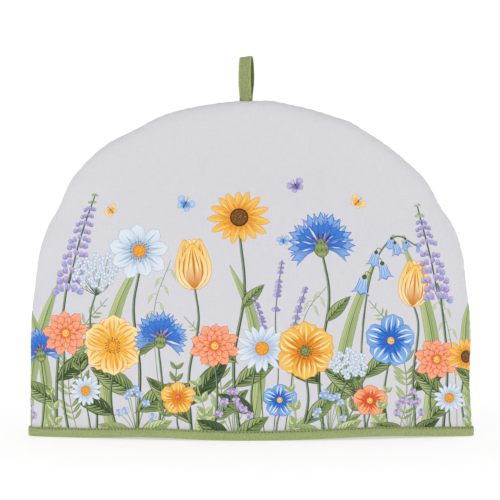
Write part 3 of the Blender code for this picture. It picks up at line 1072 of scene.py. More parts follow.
@dataclass
class DomeShape:
    """The outer face of a panel: flat cloth bent into a padded half dome, in millimetres."""

    belly: float = 46.0
    belly_power: float = 2.2
    edge_round: float = 7.5
    edge_fade: float = 12.0
    groove_depth: float = 1.0
    groove_width: float = 1.5
    pressed_to: float = 8.4
    free_from: float = 18.0
    draw_in: float = 0.5
    wall: float = 6.0
    hem_wall_share: float = 0.5
    half_gap: float = 0.15
    hem_line: float = 1.6
    reach_step: float = 15.0
    reaches: tuple[float, ...] = (
        167.0, 171.0, 190.5, 218.0, 237.4, 248.4, 252.7, 251.0, 242.2, 218.5, 191.0, 172.6, 167.0,
    )
    # Where the seam draws in or swells: bearing, spread, depth
    scallops: tuple[tuple[float, float, float], ...] = (
        (35.0, 5.0, 1.2), (50.5, 2.5, 1.9), (56.5, 2.0, -0.8), (72.5, 2.2, -1.3), (86.5, 2.2, -1.0),
        (98.0, 4.0, 0.7), (111.0, 3.5, 1.7), (124.5, 2.0, -0.6), (130.0, 2.8, 1.4), (145.0, 2.8, 0.8),
    )
    # Where the front's hem stands off the floor: place, height, spread
    hem_lifts: tuple[tuple[float, float, float], ...] = ((-76.0, 1.8, 36.0), (92.0, 2.1, 48.0))
    hem_lift_reach: float = 60.0
    bearing_step: float = 0.25
    stops: int = 260
    out: Array = field(init=False)
    deep: Array = field(init=False)
    lengths: Array = field(init=False)

    def __post_init__(self) -> None:
        """Works out each meridian from the middle of the hem to the seam, at even steps along the cloth."""
        bearings = np.arange(0, 180 + self.bearing_step / 2, self.bearing_step)
        share = np.sin(np.linspace(0, np.pi / 2, 4 * self.stops))
        rows = []
        for reach in self.seam_reach(bearings):
            inset = reach * (1 - share)
            padding = 2 * self.edge_round * inset * np.exp(-inset / self.edge_fade)
            deep = np.sqrt((self.belly * (1 - share**self.belly_power)) ** 2 + padding)
            out = reach * share
            along = np.concatenate([[0.0], np.cumsum(np.hypot(np.diff(out), np.diff(deep)))])
            even = np.linspace(0, along[-1], self.stops)
            rows.append((np.interp(even, along, out), np.interp(even, along, deep), along[-1]))
        self.out, self.deep = (np.array([row[side] for row in rows]) for side in (0, 1))
        self.lengths = np.array([row[2] for row in rows])

    def seam_reach(self, bearing: Array) -> Array:
        """Finds how far the seam is from the middle of the hem.

        Args:
            bearing: Degrees from the right.

        Returns:
            The reach at each bearing.
        """
        last = len(self.reaches) - 1
        table = np.array([self.reaches[1], *self.reaches, self.reaches[-2]])
        row = np.minimum((bearing / self.reach_step).astype(int), last - 1)
        share = bearing / self.reach_step - row
        before, start, end, after = (table[row + side] for side in range(4))
        slope_in, slope_out = (end - before) / 2, (after - start) / 2
        reach = (
            (2 * share**3 - 3 * share**2 + 1) * start
            + (3 * share**2 - 2 * share**3) * end
            + (share**3 - 2 * share**2 + share) * slope_in
            + (share**3 - share**2) * slope_out
        )
        for middle, spread, depth in self.scallops:
            reach = reach - depth * np.exp(-(((bearing - middle) / spread) ** 2))
        return reach

    def length(self, bearing: Array) -> Array:
        """Returns the cloth's length from the middle of the hem to the seam."""
        return np.interp(bearing, np.arange(len(self.lengths)) * self.bearing_step, self.lengths)

    def polar(self, flat: Array) -> tuple[Array, Array]:
        """Returns each flat point's bearing, and its share of the way to the seam."""
        bearing = np.clip(np.degrees(np.arctan2(flat[:, 1], flat[:, 0])), 0, 180)
        return bearing, np.hypot(flat[:, 0], flat[:, 1]) / self.length(bearing)

    def place(self, bearing: Array, share: Array) -> Array:
        """Finds points of the front panel's face.

        Args:
            bearing: Degrees from the right, round the middle of the hem.
            share: From 0 at the middle of the hem to 1 at the seam.

        Returns:
            The points in space, in rows.
        """
        row = np.clip(bearing, 0, 180) / self.bearing_step
        column = np.clip(share, 0, 1) * (self.stops - 1)
        out, deep = between(self.out, row, column), between(self.deep, row, column)
        turn = np.radians(bearing)
        full = ease(self.pressed_to, self.free_from, out * np.sin(turn))
        out = out - self.groove_depth * np.exp(-((deep / self.groove_width) ** 2)) * full
        return columns(out * np.cos(turn), -deep, out * np.sin(turn))

    def normal(self, bearing: Array, share: Array) -> Array:
        """Finds which way the front panel faces.

        Args:
            bearing: Degrees from the right, round the middle of the hem.
            share: From 0 at the middle of the hem to 1 at the seam.

        Returns:
            The direction that faces out at each point.
        """
        turn, step = 0.4, 0.004
        before, after = np.maximum(bearing - turn, 0), np.minimum(bearing + turn, 180)
        round_it = self.place(after, share) - self.place(before, share)
        inner, outer = np.maximum(share - step, 0), np.minimum(share + step, 1)
        outward = self.place(bearing, outer) - self.place(bearing, inner)
        facing = unit(np.cross(outward, round_it))
        facing[share < 0.01] = (0.0, -1.0, 0.0)
        return np.where(facing[:, 1:2] > 0.5, -facing, facing)

    def hem_lift(self, points: Array) -> Array:
        """Finds how far the hem's slack lifts the cloth, at the back as at the front, turned round.

        Args:
            points: The cloth's points in space.

        Returns:
            The lift of each.
        """
        front = ease(-12.0, 12.0, -points[:, 1])
        lift = np.zeros(len(points))
        for middle, height, spread in self.hem_lifts:
            for share, across in ((front, points[:, 0]), (1 - front, -points[:, 0])):
                lift += height * share * np.exp(-(((across - middle) / spread) ** 2))
        return lift * (1 - ease(0.0, self.hem_lift_reach, points[:, 2]))

    def wall_at(self, height: Array) -> Array:
        """Returns how thick the padded wall is at each height."""
        pressed = self.hem_wall_share
        return self.wall * (pressed + (1 - pressed) * ease(self.pressed_to, self.free_from, height))

    def hem_line_round(self, inset: float) -> Array:
        """Draws the closed line round the hem in plan.

        Args:
            inset: How far inside the panels' faces it runs.

        Returns:
            The line's points.
        """
        out, deep = self.out[0][::-1], self.deep[0][::-1]
        heading = columns(np.gradient(out), np.gradient(deep))
        heading[0], heading[-1] = (0.0, 1.0), (-1.0, 0.0)
        heading = unit(heading)
        quarter = columns(out, deep) - columns(heading[:, 1], -heading[:, 0]) * inset
        half = np.concatenate([quarter, quarter[-2::-1] * (-1, 1)])
        return np.concatenate([half, half[-2:0:-1] * (1, -1)])


@dataclass(frozen=True)
class Settling:
    """A short cloth simulation, in which a panel's face settles between its sewn edges."""

    columns: int = 97
    rows: int = 49
    frames: int = 16
    pressure: float = 0.5
    spare: float = 0.003
    stiffness: float = 15.0
    unevenness: float = 0.05
    smoothing: int = 2
    broad: int = 40
    kept_swell: float = 0.35
    limit: float = 0.85
    seed: int = 5

    def places(self) -> tuple[Array, Array]:
        """Lays a square grid of knots over the half disc.

        Returns:
            The knots' bearings, and their shares of the way to the seam.
        """
        across, up = np.meshgrid(np.linspace(-1, 1, self.columns), np.linspace(0, 1, self.rows))
        x, z = across * np.sqrt(1 - up**2 / 2), up * np.sqrt(1 - across**2 / 2)
        return np.degrees(np.arctan2(z, x)).ravel(), np.minimum(np.hypot(x, z), 1).ravel()

    def sheet(self, shape: DomeShape) -> tuple[Object, Array, Array]:
        """Makes the coarse face that is simulated, held along the seam and under the hem tape.

        Args:
            shape: The panel's shape.

        Returns:
            The object, its resting points and the direction that faces out at each of them.
        """
        bearing, share = self.places()
        rest, facing = shape.place(bearing, share), shape.normal(bearing, share)
        stirred = np.random.default_rng(self.seed).uniform(-1, 1, len(rest))[:, None]
        start = rest + facing * stirred * self.unevenness
        knots = np.arange(self.columns * self.rows).reshape(self.rows, self.columns)
        corners = (knots[:-1, :-1], knots[:-1, 1:], knots[1:, 1:], knots[1:, :-1])
        quads = np.stack(corners, axis=-1).reshape(-1, 4)
        mesh = bpy.data.meshes.new("settling_face")
        mesh.from_pydata((start * MM).tolist(), [], quads.tolist())
        face = new_object("settling_face", mesh)
        held = (share > 0.9999) | (rest[:, 2] < shape.pressed_to - 0.4)
        face.vertex_groups.new(name="sewn_and_painted_shade").add(np.flatnonzero(held).tolist(), 1.0, "REPLACE")
        return face, rest, facing

    def simulate(self, shape: DomeShape) -> Array:
        """Runs the simulation.

        Args:
            shape: The panel's shape.

        Returns:
            How far each knot has moved outwards, in millimetres, as rows and columns.
        """
        face, rest, facing = self.sheet(shape)
        modifier = face.modifiers.new("settling", "CLOTH")
        cloth = modifier.settings
        cloth.quality = 6
        cloth.tension_stiffness = cloth.compression_stiffness = self.stiffness
        cloth.bending_stiffness = 0.5
        cloth.use_pressure = True
        cloth.uniform_pressure_force = self.pressure
        cloth.shrink_min = cloth.shrink_max = -self.spare
        cloth.vertex_group_mass = "sewn_and_painted_shade"
        cloth.effector_weights.gravity = 0.0
        modifier.collision_settings.use_collision = False
        for frame_number in range(1, self.frames + 1):
            bpy.context.scene.frame_set(frame_number)
        settled = face.evaluated_get(bpy.context.evaluated_depsgraph_get()).to_mesh()
        moved = ((points_of(settled) / MM - rest) * facing).sum(axis=1).reshape(self.rows, self.columns)
        bpy.data.objects.remove(face)
        bpy.context.scene.frame_set(1)
        return moved

    def relief(self, shape: DomeShape) -> Array:
        """Args:
            shape: The panel's shape.

        Returns:
            The relief over the grid.
        """
        fine = smoothed(self.simulate(shape), self.smoothing)
        local = fine - (1 - self.kept_swell) * smoothed(fine, self.broad)
        return self.limit * np.tanh(local / self.limit)

    def read(self, relief: Array, bearing: Array, share: Array) -> Array:
        """Reads the relief at any places.

        Args:
            relief: The relief over the grid.
            bearing: The places' bearings.
            share: Their shares of the way to the seam.

        Returns:
            The relief at each place.
        """
        turn, root = np.radians(bearing), 2 * math.sqrt(2)
        x, z = share * np.cos(turn), share * np.sin(turn)
        middle = 2 + x * x - z * z
        across = np.sqrt(np.maximum(middle + root * x, 0)) - np.sqrt(np.maximum(middle - root * x, 0))
        middle = 2 - x * x + z * z
        up = np.sqrt(np.maximum(middle + root * z, 0)) - np.sqrt(np.maximum(middle - root * z, 0))
        column = np.clip((across / 2 + 1) / 2, 0, 1) * (self.columns - 1)
        row = np.clip(up / 2, 0, 1) * (self.rows - 1)
        return between(relief, row, column)


def smoothed(table: Array, times: int) -> Array:
    """Draws each value of a table towards its neighbours.

    Args:
        table: The table.
        times: How many times over.

    Returns:
        The smoothed table.
    """
    for _ in range(times):
        edged = np.pad(table, 1, mode="edge")
        table = (edged[:-2, 1:-1] + edged[2:, 1:-1] + edged[1:-1, :-2] + edged[1:-1, 2:] + 4 * table) / 8
    return table


@dataclass(frozen=True)
class Relief:
    """The small unevenness of padded cloth, in millimetres along its face's normal."""

    settling: Settling = Settling()
    swell: float = 0.35
    swell_size: float = 62.0
    ripple: float = 0.16
    ripple_size: float = 21.0
    pucker: float = 0.34
    pucker_pitch: float = 8.5
    pucker_fade: float = 8.0
    drift_size: float = 26.0
    hem_pucker: float = 0.22
    hem_pitch: float = 7.3
    hem_line: float = 10.5
    hem_fade: float = 4.0
    hem_reach: tuple[float, float] = (7.4, 10.0)
    calm: float = 4.0
    seed: float = 0.0

    def at(self, flat: Array, shape: DomeShape) -> Array:
        """Works out the relief.

        Args:
            flat: The flat points.
            shape: The panel's shape.

        Returns:
            The relief at each point.
        """
        bearing, share = shape.polar(flat)
        length = shape.length(bearing)
        to_seam = length * (1 - share)
        height = shape.place(bearing, share)[:, 2]
        lows = uneven(flat, self.swell_size, self.seed)
        highs = uneven(flat, self.ripple_size, self.seed + 9)
        along = np.radians(bearing) * length
        drift = uneven(along, self.drift_size, self.seed + 4)
        folds = np.sin(2 * np.pi * (along / self.pucker_pitch + 1.6 * drift)) * (0.6 + 0.8 * drift)
        hem_folds = np.sin(2 * np.pi * (flat[:, 0] / self.hem_pitch + 1.4 * lows)) * (0.5 + highs)
        away = ease(0.0, self.calm, to_seam) * ease(shape.pressed_to - 0.6, shape.free_from, height)
        settled = self.settling.read(self.settling.relief(shape), bearing, share)
        hem_share = np.exp(-np.abs(height - self.hem_line) / self.hem_fade)
        return (
            (settled + self.swell * lows + self.ripple * highs) * away
            + self.pucker * folds * np.exp(-to_seam / self.pucker_fade) * ease(0.0, 2.0, to_seam)
            + self.hem_pucker * hem_folds * hem_share * ease(*self.hem_reach, height)
        )


# Shader groups and finishes


class Graph:
    """Adds nodes to a tree and joins them."""

    def __init__(self, tree: Tree) -> None:
        """Works on that tree."""
        self.tree = tree

    def feed(self, node: bpy.types.Node, values: dict[str | int, Any]) -> None:
        """Sets a node's inputs.

        Args:
            node: The node.
            values: Its inputs by name or number, each a value or another node's output.
        """
        for name, value in values.items():
            if isinstance(value, bpy.types.NodeSocket):
                self.tree.links.new(value, node.inputs[name])
            else:
                node.inputs[name].default_value = value

    def add(self, kind: str, values: dict[str | int, Any] | None = None, **settings: Any) -> bpy.types.Node:
        """Adds a node.

        Args:
            kind: The node's type.
            values: Its inputs by name or number, each a value or another node's output.
            **settings: Its properties.

        Returns:
            The node.
        """
        node = self.tree.nodes.new(kind)
        for name, value in settings.items():
            setattr(node, name, value)
        self.feed(node, values or {})
        return node

    def maths(self, operation: str, *values: Any) -> bpy.types.NodeSocket:
        """Returns the output of a Math node with those inputs."""
        return self.add("ShaderNodeMath", dict(enumerate(values)), operation=operation).outputs[0]

    def vector(self, operation: str, first: Any, second: Any) -> bpy.types.NodeSocket:
        """Returns the output of a Vector Math node with those two inputs."""
        values = {0: first, "Scale" if operation == "SCALE" else 1: second}
        return self.add("ShaderNodeVectorMath", values, operation=operation).outputs[0]


def new_group(
    name: str, kind: str, inputs: dict[str, str], outputs: dict[str, str]
) -> tuple[Graph, Any, bpy.types.Node]:
    """Makes an empty node group.

    Args:
        name: Its name.
        kind: Its type.
        inputs: The type of each input, by name.
        outputs: The type of each output, by name.

    Returns:
        Its graph, its inputs' sockets by name, and its output node.
    """
    tree = bpy.data.node_groups.new(name, kind)
    for names, side in ((inputs, "INPUT"), (outputs, "OUTPUT")):
        for socket, form in names.items():
            tree.interface.new_socket(socket, in_out=side, socket_type="NodeSocket" + form)
    given = tree.nodes.new("NodeGroupInput").outputs
    return Graph(tree), given, tree.nodes.new("NodeGroupOutput")


def weave_group() -> Tree:
    """Builds the plain weave.

    Returns:
        The group, which gives the height of the threads and the uneven shade of the yarn.
    """
    inputs = {"Cloth": "Vector", "Pitch": "Float", "Slub": "Float"}
    outputs = {"Height": "Float", "Shade": "Float"}
    graph, given, result = new_group("Plain weave", "ShaderNodeTree", inputs, outputs)
    threads = graph.vector("SCALE", given["Cloth"], graph.maths("DIVIDE", 1.0, given["Pitch"]))
    split = graph.add("ShaderNodeSeparateXYZ", {0: threads})
    warp, weft = (
        graph.maths("ABSOLUTE", graph.maths("SINE", graph.maths("MULTIPLY", split.outputs[axis], math.pi)))
        for axis in (0, 1)
    )
    over = graph.add("ShaderNodeTexChecker", {"Vector": threads, "Scale": 1.0}).outputs["Fac"]
    top = graph.add("ShaderNodeMix", {"Factor": over, 2: warp, 3: weft}).outputs[0]
    both = graph.maths("MULTIPLY", graph.maths("MULTIPLY", warp, weft), 0.4)
    height = graph.maths("ADD", graph.maths("MULTIPLY", top, 0.6), both)
    streaks = []
    for stretch in ((14.0, 190.0, 1.0), (190.0, 14.0, 1.0)):
        drawn = graph.vector("MULTIPLY", given["Cloth"], stretch)
        yarn = graph.add("ShaderNodeTexNoise", {"Vector": drawn, "Scale": 9.0, "Detail": 3.0})
        streaks.append(graph.maths("SUBTRACT", yarn.outputs["Fac"], 0.5))
    slub = graph.maths("MULTIPLY", graph.maths("ADD", *streaks), given["Slub"])
    graph.feed(result, {"Height": height, "Shade": graph.maths("ADD", 1.0, slub)})
    return graph.tree


def new_material(name: str, looks: dict[str | int, Any]) -> tuple[Material, Graph, bpy.types.Node]:
    """Makes a material.

    Args:
        name: Its name.
        looks: The inputs of its Principled shader, by name.

    Returns:
        The material, its graph and its shader.
    """
    made = bpy.data.materials.new(name)
    made.use_nodes = True
    graph, shader = Graph(made.node_tree), made.node_tree.nodes["Principled BSDF"]
    graph.feed(shader, looks)
    return made, graph, shader


@dataclass(frozen=True)
class ClothFinish:
    """A woven cotton finish, of one colour or printed from the mesh's inks."""

    name: str
    colour: tuple[int, int, int] = (0, 0, 0)
    pitch: float = 0.45
    slub: float = 0.5
    roughness: float = 0.88
    sheen: float = 0.12
    bump: float = 0.35
    mottle: float = 0.12
    printed: bool = False
    # How fine the yarn's mottle and the broad unevenness are
    grain: float = 680.0
    cloudiness: float = 26.0
    # How much red, green and blue the cloth loses under its painted shade, in the tapes' stitch dips, at the
    # hem tape's lip and inside the loop
    shade_loss: tuple[float, float, float] = (-0.47, -0.45, -0.58)

    def material(self, weave: Tree) -> Material:
        """Builds the finish.

        Args:
            weave: The shared weave group.

        Returns:
            The material.
        """
        looks = {"Roughness": self.roughness, "Sheen Weight": self.sheen, "Sheen Roughness": 0.45}
        made, graph, shader = new_material(self.name, {**looks, "Specular IOR Level": 0.25})
        cloth = graph.add("ShaderNodeUVMap", uv_map="cloth").outputs[0]
        values = {"Cloth": cloth, "Pitch": self.pitch * MM, "Slub": self.slub}
        threads = graph.add("ShaderNodeGroup", values, node_tree=weave).outputs
        if self.printed:
            colour = graph.add("ShaderNodeAttribute", attribute_name="ink").outputs["Color"]
        else:
            colour = graph.add("ShaderNodeRGB").outputs[0]
            colour.default_value = (*linear(self.colour), 1.0)
        values = {"Vector": cloth, "Scale": self.grain, "Detail": 4.0, "Roughness": 0.6}
        mottle = graph.add("ShaderNodeTexNoise", values).outputs["Fac"]
        values = {"Vector": cloth, "Scale": self.cloudiness, "Detail": 2.0}
        worn = graph.add("ShaderNodeTexNoise", values).outputs["Fac"]
        fine = graph.maths("MULTIPLY_ADD", mottle, self.mottle, 1 - self.mottle / 2)
        broad = graph.maths("MULTIPLY_ADD", worn, self.mottle / 4, 1 - self.mottle / 8)
        # Painted shade in the low places between the threads, times the yarn's uneven slub tone
        gap_shade_and_slub = graph.maths("MULTIPLY_ADD", threads["Height"], 0.1, 0.94)
        gap_shade_and_slub = graph.maths("MULTIPLY", gap_shade_and_slub, threads["Shade"])
        tone = graph.maths("MULTIPLY", graph.maths("MULTIPLY", fine, broad), gap_shade_and_slub)
        toned = graph.vector("SCALE", colour, tone)
        # Unprinted cloth is darkened by the painted shade that the tapes carry, and lightened by the painted
        # highlight on the loop's front edges
        if not self.printed:
            sewn_and_painted_shade = graph.add("ShaderNodeAttribute", attribute_name="sewn_and_painted_shade").outputs["Fac"]
            kept = graph.vector("ADD", graph.vector("SCALE", self.shade_loss, sewn_and_painted_shade), (1.0, 1.0, 1.0))
            toned = graph.vector("MULTIPLY", toned, kept)
        values = {"Height": threads["Height"], "Strength": self.bump, "Distance": self.pitch * MM * 0.25}
        relief = graph.add("ShaderNodeBump", values).outputs[0]
        graph.feed(shader, {"Base Color": toned, "Normal": relief})
        return made


@dataclass(frozen=True)
class ThreadFinish:
    """The finish of the sewing thread."""

    name: str
    colour: tuple[float, float, float]
    roughness: float = 0.6
    ply: float = 620.0
    ply_shade: float = 0.72

    def material(self) -> Material:
        """Builds the finish, with the ply of the thread as uneven shade and bump.

        Returns:
            The material.
        """
        made, graph, shader = new_material(self.name, {"Roughness": self.roughness, "Sheen Weight": 0.2})
        place = graph.add("ShaderNodeTexCoord").outputs["Object"]
        values = {"Vector": place, "Scale": self.ply, "Distortion": 1.5}
        ply = graph.add("ShaderNodeTexWave", values, bands_direction="DIAGONAL").outputs["Fac"]
        light, dark = (*self.colour, 1.0), (*(self.ply_shade * part for part in self.colour), 1.0)
        shade = graph.add("ShaderNodeMix", {"Factor": ply, 6: light, 7: dark}, data_type="RGBA")
        bump = graph.add("ShaderNodeBump", {"Height": ply, "Strength": 0.5, "Distance": 0.00006})
        graph.feed(shader, {"Base Color": shade.outputs[2], "Normal": bump.outputs[0]})
        return made


# Meshes


def new_object(name: str, data: bpy.types.ID) -> Object:
    """Links a new object to the scene.

    Args:
        name: Its name.
        data: Its mesh, lamp or lens.

    Returns:
        The object.
    """
    made = bpy.data.objects.new(name, data)
    bpy.context.scene.collection.objects.link(made)
    return made


def line_object(name: str, points: Array, closed: bool) -> Object:
    """Makes a line of edges for a node tree to follow.

    Args:
        name: The new object's name.
        points: The line's points, in metres.
        closed: Whether the last point is joined to the first.

    Returns:
        The line's object.
    """
    mesh = bpy.data.meshes.new(name)
    count = len(points)
    edges = [(here, (here + 1) % count) for here in range(count if closed else count - 1)]
    mesh.from_pydata([tuple(point) for point in points], edges, [])
    return new_object(name, mesh)


def frozen(source: Object, name: str, tree: Tree, values: dict[str, Any]) -> Object:
    """Runs a node tree on an object and keeps the result as a plain mesh.

    Args:
        source: The object that the tree works on. It is removed.
        name: The new object's name.
        tree: The node tree.
        values: The tree's inputs, by name.

    Returns:
        The new object.
    """
    modifier = source.modifiers.new(name, "NODES")
    modifier.node_group = tree
    for item in tree.interface.items_tree:
        if item.item_type == "SOCKET" and item.in_out == "INPUT" and item.name in values:
            modifier[item.identifier] = values[item.name]
    mesh = bpy.data.meshes.new_from_object(source.evaluated_get(bpy.context.evaluated_depsgraph_get()))
    source.modifiers.remove(modifier)
    bpy.data.objects.remove(source)
    mesh.name = name
    return new_object(name, mesh)


def stitch_tree() -> Tree:
    """Builds what sews a row of stitches along a line.

    Returns:
        The node tree.
    """
    inputs = {"Line": "Geometry", "Pitch": "Float", "Length": "Float", "Thickness": "Float"}
    inputs |= {"Seed": "Int", "Thread": "Material"}
    graph, given, result = new_group("Stitch row", "GeometryNodeTree", inputs, {"Stitches": "Geometry"})
    curve = graph.add("GeometryNodeMeshToCurve", {"Mesh": given["Line"]}).outputs[0]
    values = {"Curve": curve, "Length": given["Pitch"]}
    steps = graph.add("GeometryNodeResampleCurve", values, mode="LENGTH").outputs[0]
    tangent = graph.add("GeometryNodeInputTangent").outputs[0]
    along = graph.add("FunctionNodeAlignRotationToVector", {"Vector": tangent}, axis="X").outputs[0]
    values = {"Min": (-0.05, -0.04, -0.1), "Max": (0.05, 0.04, 0.1), "Seed": given["Seed"]}
    tilt = graph.add("FunctionNodeRandomValue", values, data_type="FLOAT_VECTOR").outputs[0]
    values = {"Rotation": along, "Rotate By": tilt}
    turn = graph.add("FunctionNodeRotateRotation", values, rotation_space="LOCAL").outputs[0]
    ball = graph.add("GeometryNodeMeshUVSphere", {"Segments": 8, "Rings": 6, "Radius": 0.5}).outputs[0]
    values = {0: given["Length"], 1: given["Thickness"], 2: given["Thickness"]}
    size = graph.add("ShaderNodeCombineXYZ", values).outputs[0]
    stitch = graph.add("GeometryNodeTransform", {"Geometry": ball, "Scale": size}).outputs[0]
    values = {"Points": steps, "Instance": stitch, "Rotation": turn}
    placed = graph.add("GeometryNodeInstanceOnPoints", values).outputs[0]
    real = graph.add("GeometryNodeRealizeInstances", {0: placed}).outputs[0]
    smooth = graph.add("GeometryNodeSetShadeSmooth", {0: real}).outputs[0]
    dressed = graph.add("GeometryNodeSetMaterial", {0: smooth, "Material": given["Thread"]})
    graph.feed(result, {0: dressed.outputs[0]})
    return graph.tree


def sweep_tree() -> Tree:
    """Builds what sweeps a section along a line and notes each point's place on both.

    Returns:
        The node tree.
    """
    inputs = {"Line": "Geometry", "Section": "Object", "Step": "Float", "Upright": "Bool", "Caps": "Bool"}
    inputs |= {"Cloth": "Material"}
    graph, given, result = new_group("Swept tape", "GeometryNodeTree", inputs, {"Tape": "Geometry"})
    curve = graph.add("GeometryNodeMeshToCurve", {"Mesh": given["Line"]}).outputs[0]
    values = {"Curve": curve, "Length": given["Step"]}
    steps = graph.add("GeometryNodeResampleCurve", values, mode="LENGTH").outputs[0]
    values = {0: steps, "Selection": given["Upright"]}
    upright = graph.add("GeometryNodeSetCurveNormal", values, mode="Z_UP").outputs[0]
    section = graph.add("GeometryNodeObjectInfo", {"Object": given["Section"]}).outputs["Geometry"]
    profile = graph.add("GeometryNodeMeshToCurve", {"Mesh": section}).outputs[0]
    noted = []
    for name, source in (("along", upright), ("around", profile)):
        place = graph.add("GeometryNodeSplineParameter").outputs["Length"]
        values = {0: source, "Name": name, "Value": place}
        noted.append(graph.add("GeometryNodeStoreNamedAttribute", values).outputs[0])
    values = {"Curve": noted[0], "Profile Curve": noted[1], "Fill Caps": given["Caps"]}
    swept = graph.add("GeometryNodeCurveToMesh", values).outputs[0]
    real = graph.add("GeometryNodeRealizeInstances", {0: swept}).outputs[0]
    dressed = graph.add("GeometryNodeSetMaterial", {0: real, "Material": given["Cloth"]})
    graph.feed(result, {0: dressed.outputs[0]})
    return graph.tree


def points_of(mesh: Mesh) -> Array:
    """Reads a mesh's points.

    Args:
        mesh: The mesh.

    Returns:
        The points, in rows.
    """
    found = np.empty(len(mesh.vertices) * 3, np.float32)
    mesh.vertices.foreach_get("co", found)
    return found.reshape(-1, 3).astype(float)


def values_of(mesh: Mesh, name: str) -> Array:
    """Reads a number that each point of a mesh carries.

    Args:
        mesh: The mesh.
        name: The number's name.

    Returns:
        One value for each point.
    """
    found = np.empty(len(mesh.vertices), np.float32)
    mesh.attributes[name].data.foreach_get("value", found)
    return found.astype(float)


def add_weave_map(mesh: Mesh, places: Array) -> None:
    """Notes where each point lies on the flat cloth, for the weave to follow.

    Args:
        mesh: The mesh.
        places: Each point's place, in metres.
    """
    layer = mesh.uv_layers.new(name="cloth")
    corner = np.empty(len(mesh.loops), np.int32)
    mesh.loops.foreach_get("vertex_index", corner)
    layer.data.foreach_set("uv", places[corner].astype(np.float32).ravel())


def sweep(
    tree: Tree, name: str, path: Array, section: Array, values: dict[str, Any]
) -> tuple[Object, Array, Array, Array]:
    """Sweeps a tape's section along a line.

    Args:
        tree: The node tree that sweeps.
        name: The tape's name.
        path: The line, in metres, which is closed where the tape has no caps.
        section: The closed section, in metres.
        values: The tree's other inputs, by name.

    Returns:
        The tape, and for each of its points its place in space, along the line and round the section,
        in millimetres.
    """
    profile = line_object(name + "_section", columns(*section.T, np.zeros(len(section))), True)
    line = line_object(name + "_line", path, not values["Caps"])
    made = frozen(line, name, tree, {"Section": profile, **values})
    bpy.data.objects.remove(profile)
    mesh = made.data
    return made, points_of(mesh) / MM, values_of(mesh, "along") / MM, values_of(mesh, "around") / MM


def lay_tape(mesh: Mesh, points: Array, weave: Array, sewn_and_painted_shade: Array) -> None:
    """Moves a swept tape to its final shape and lays its weave on it.

    Args:
        mesh: The tape.
        points: Its points' places, in metres.
        weave: Their places on the flat tape, in metres.
        sewn_and_painted_shade: How much painted shade darkens them, or painted highlight lightens them, in
            the dips, at the lip and on the loop.
    """
    mesh.vertices.foreach_set("co", points.astype(np.float32).ravel())
    mesh.attributes.new("sewn_and_painted_shade", "FLOAT", "POINT").data.foreach_set("value", sewn_and_painted_shade.astype(np.float32))
    add_weave_map(mesh, weave)
    mesh.shade_smooth()


def edges_of(triangles: Array) -> Array:
    """Returns every triangle's edges as pairs of points: all first edges, then the second and third ones."""
    return np.concatenate([triangles[:, pair] for pair in ((0, 1), (1, 2), (2, 0))]).astype(np.int64)


# The pieces


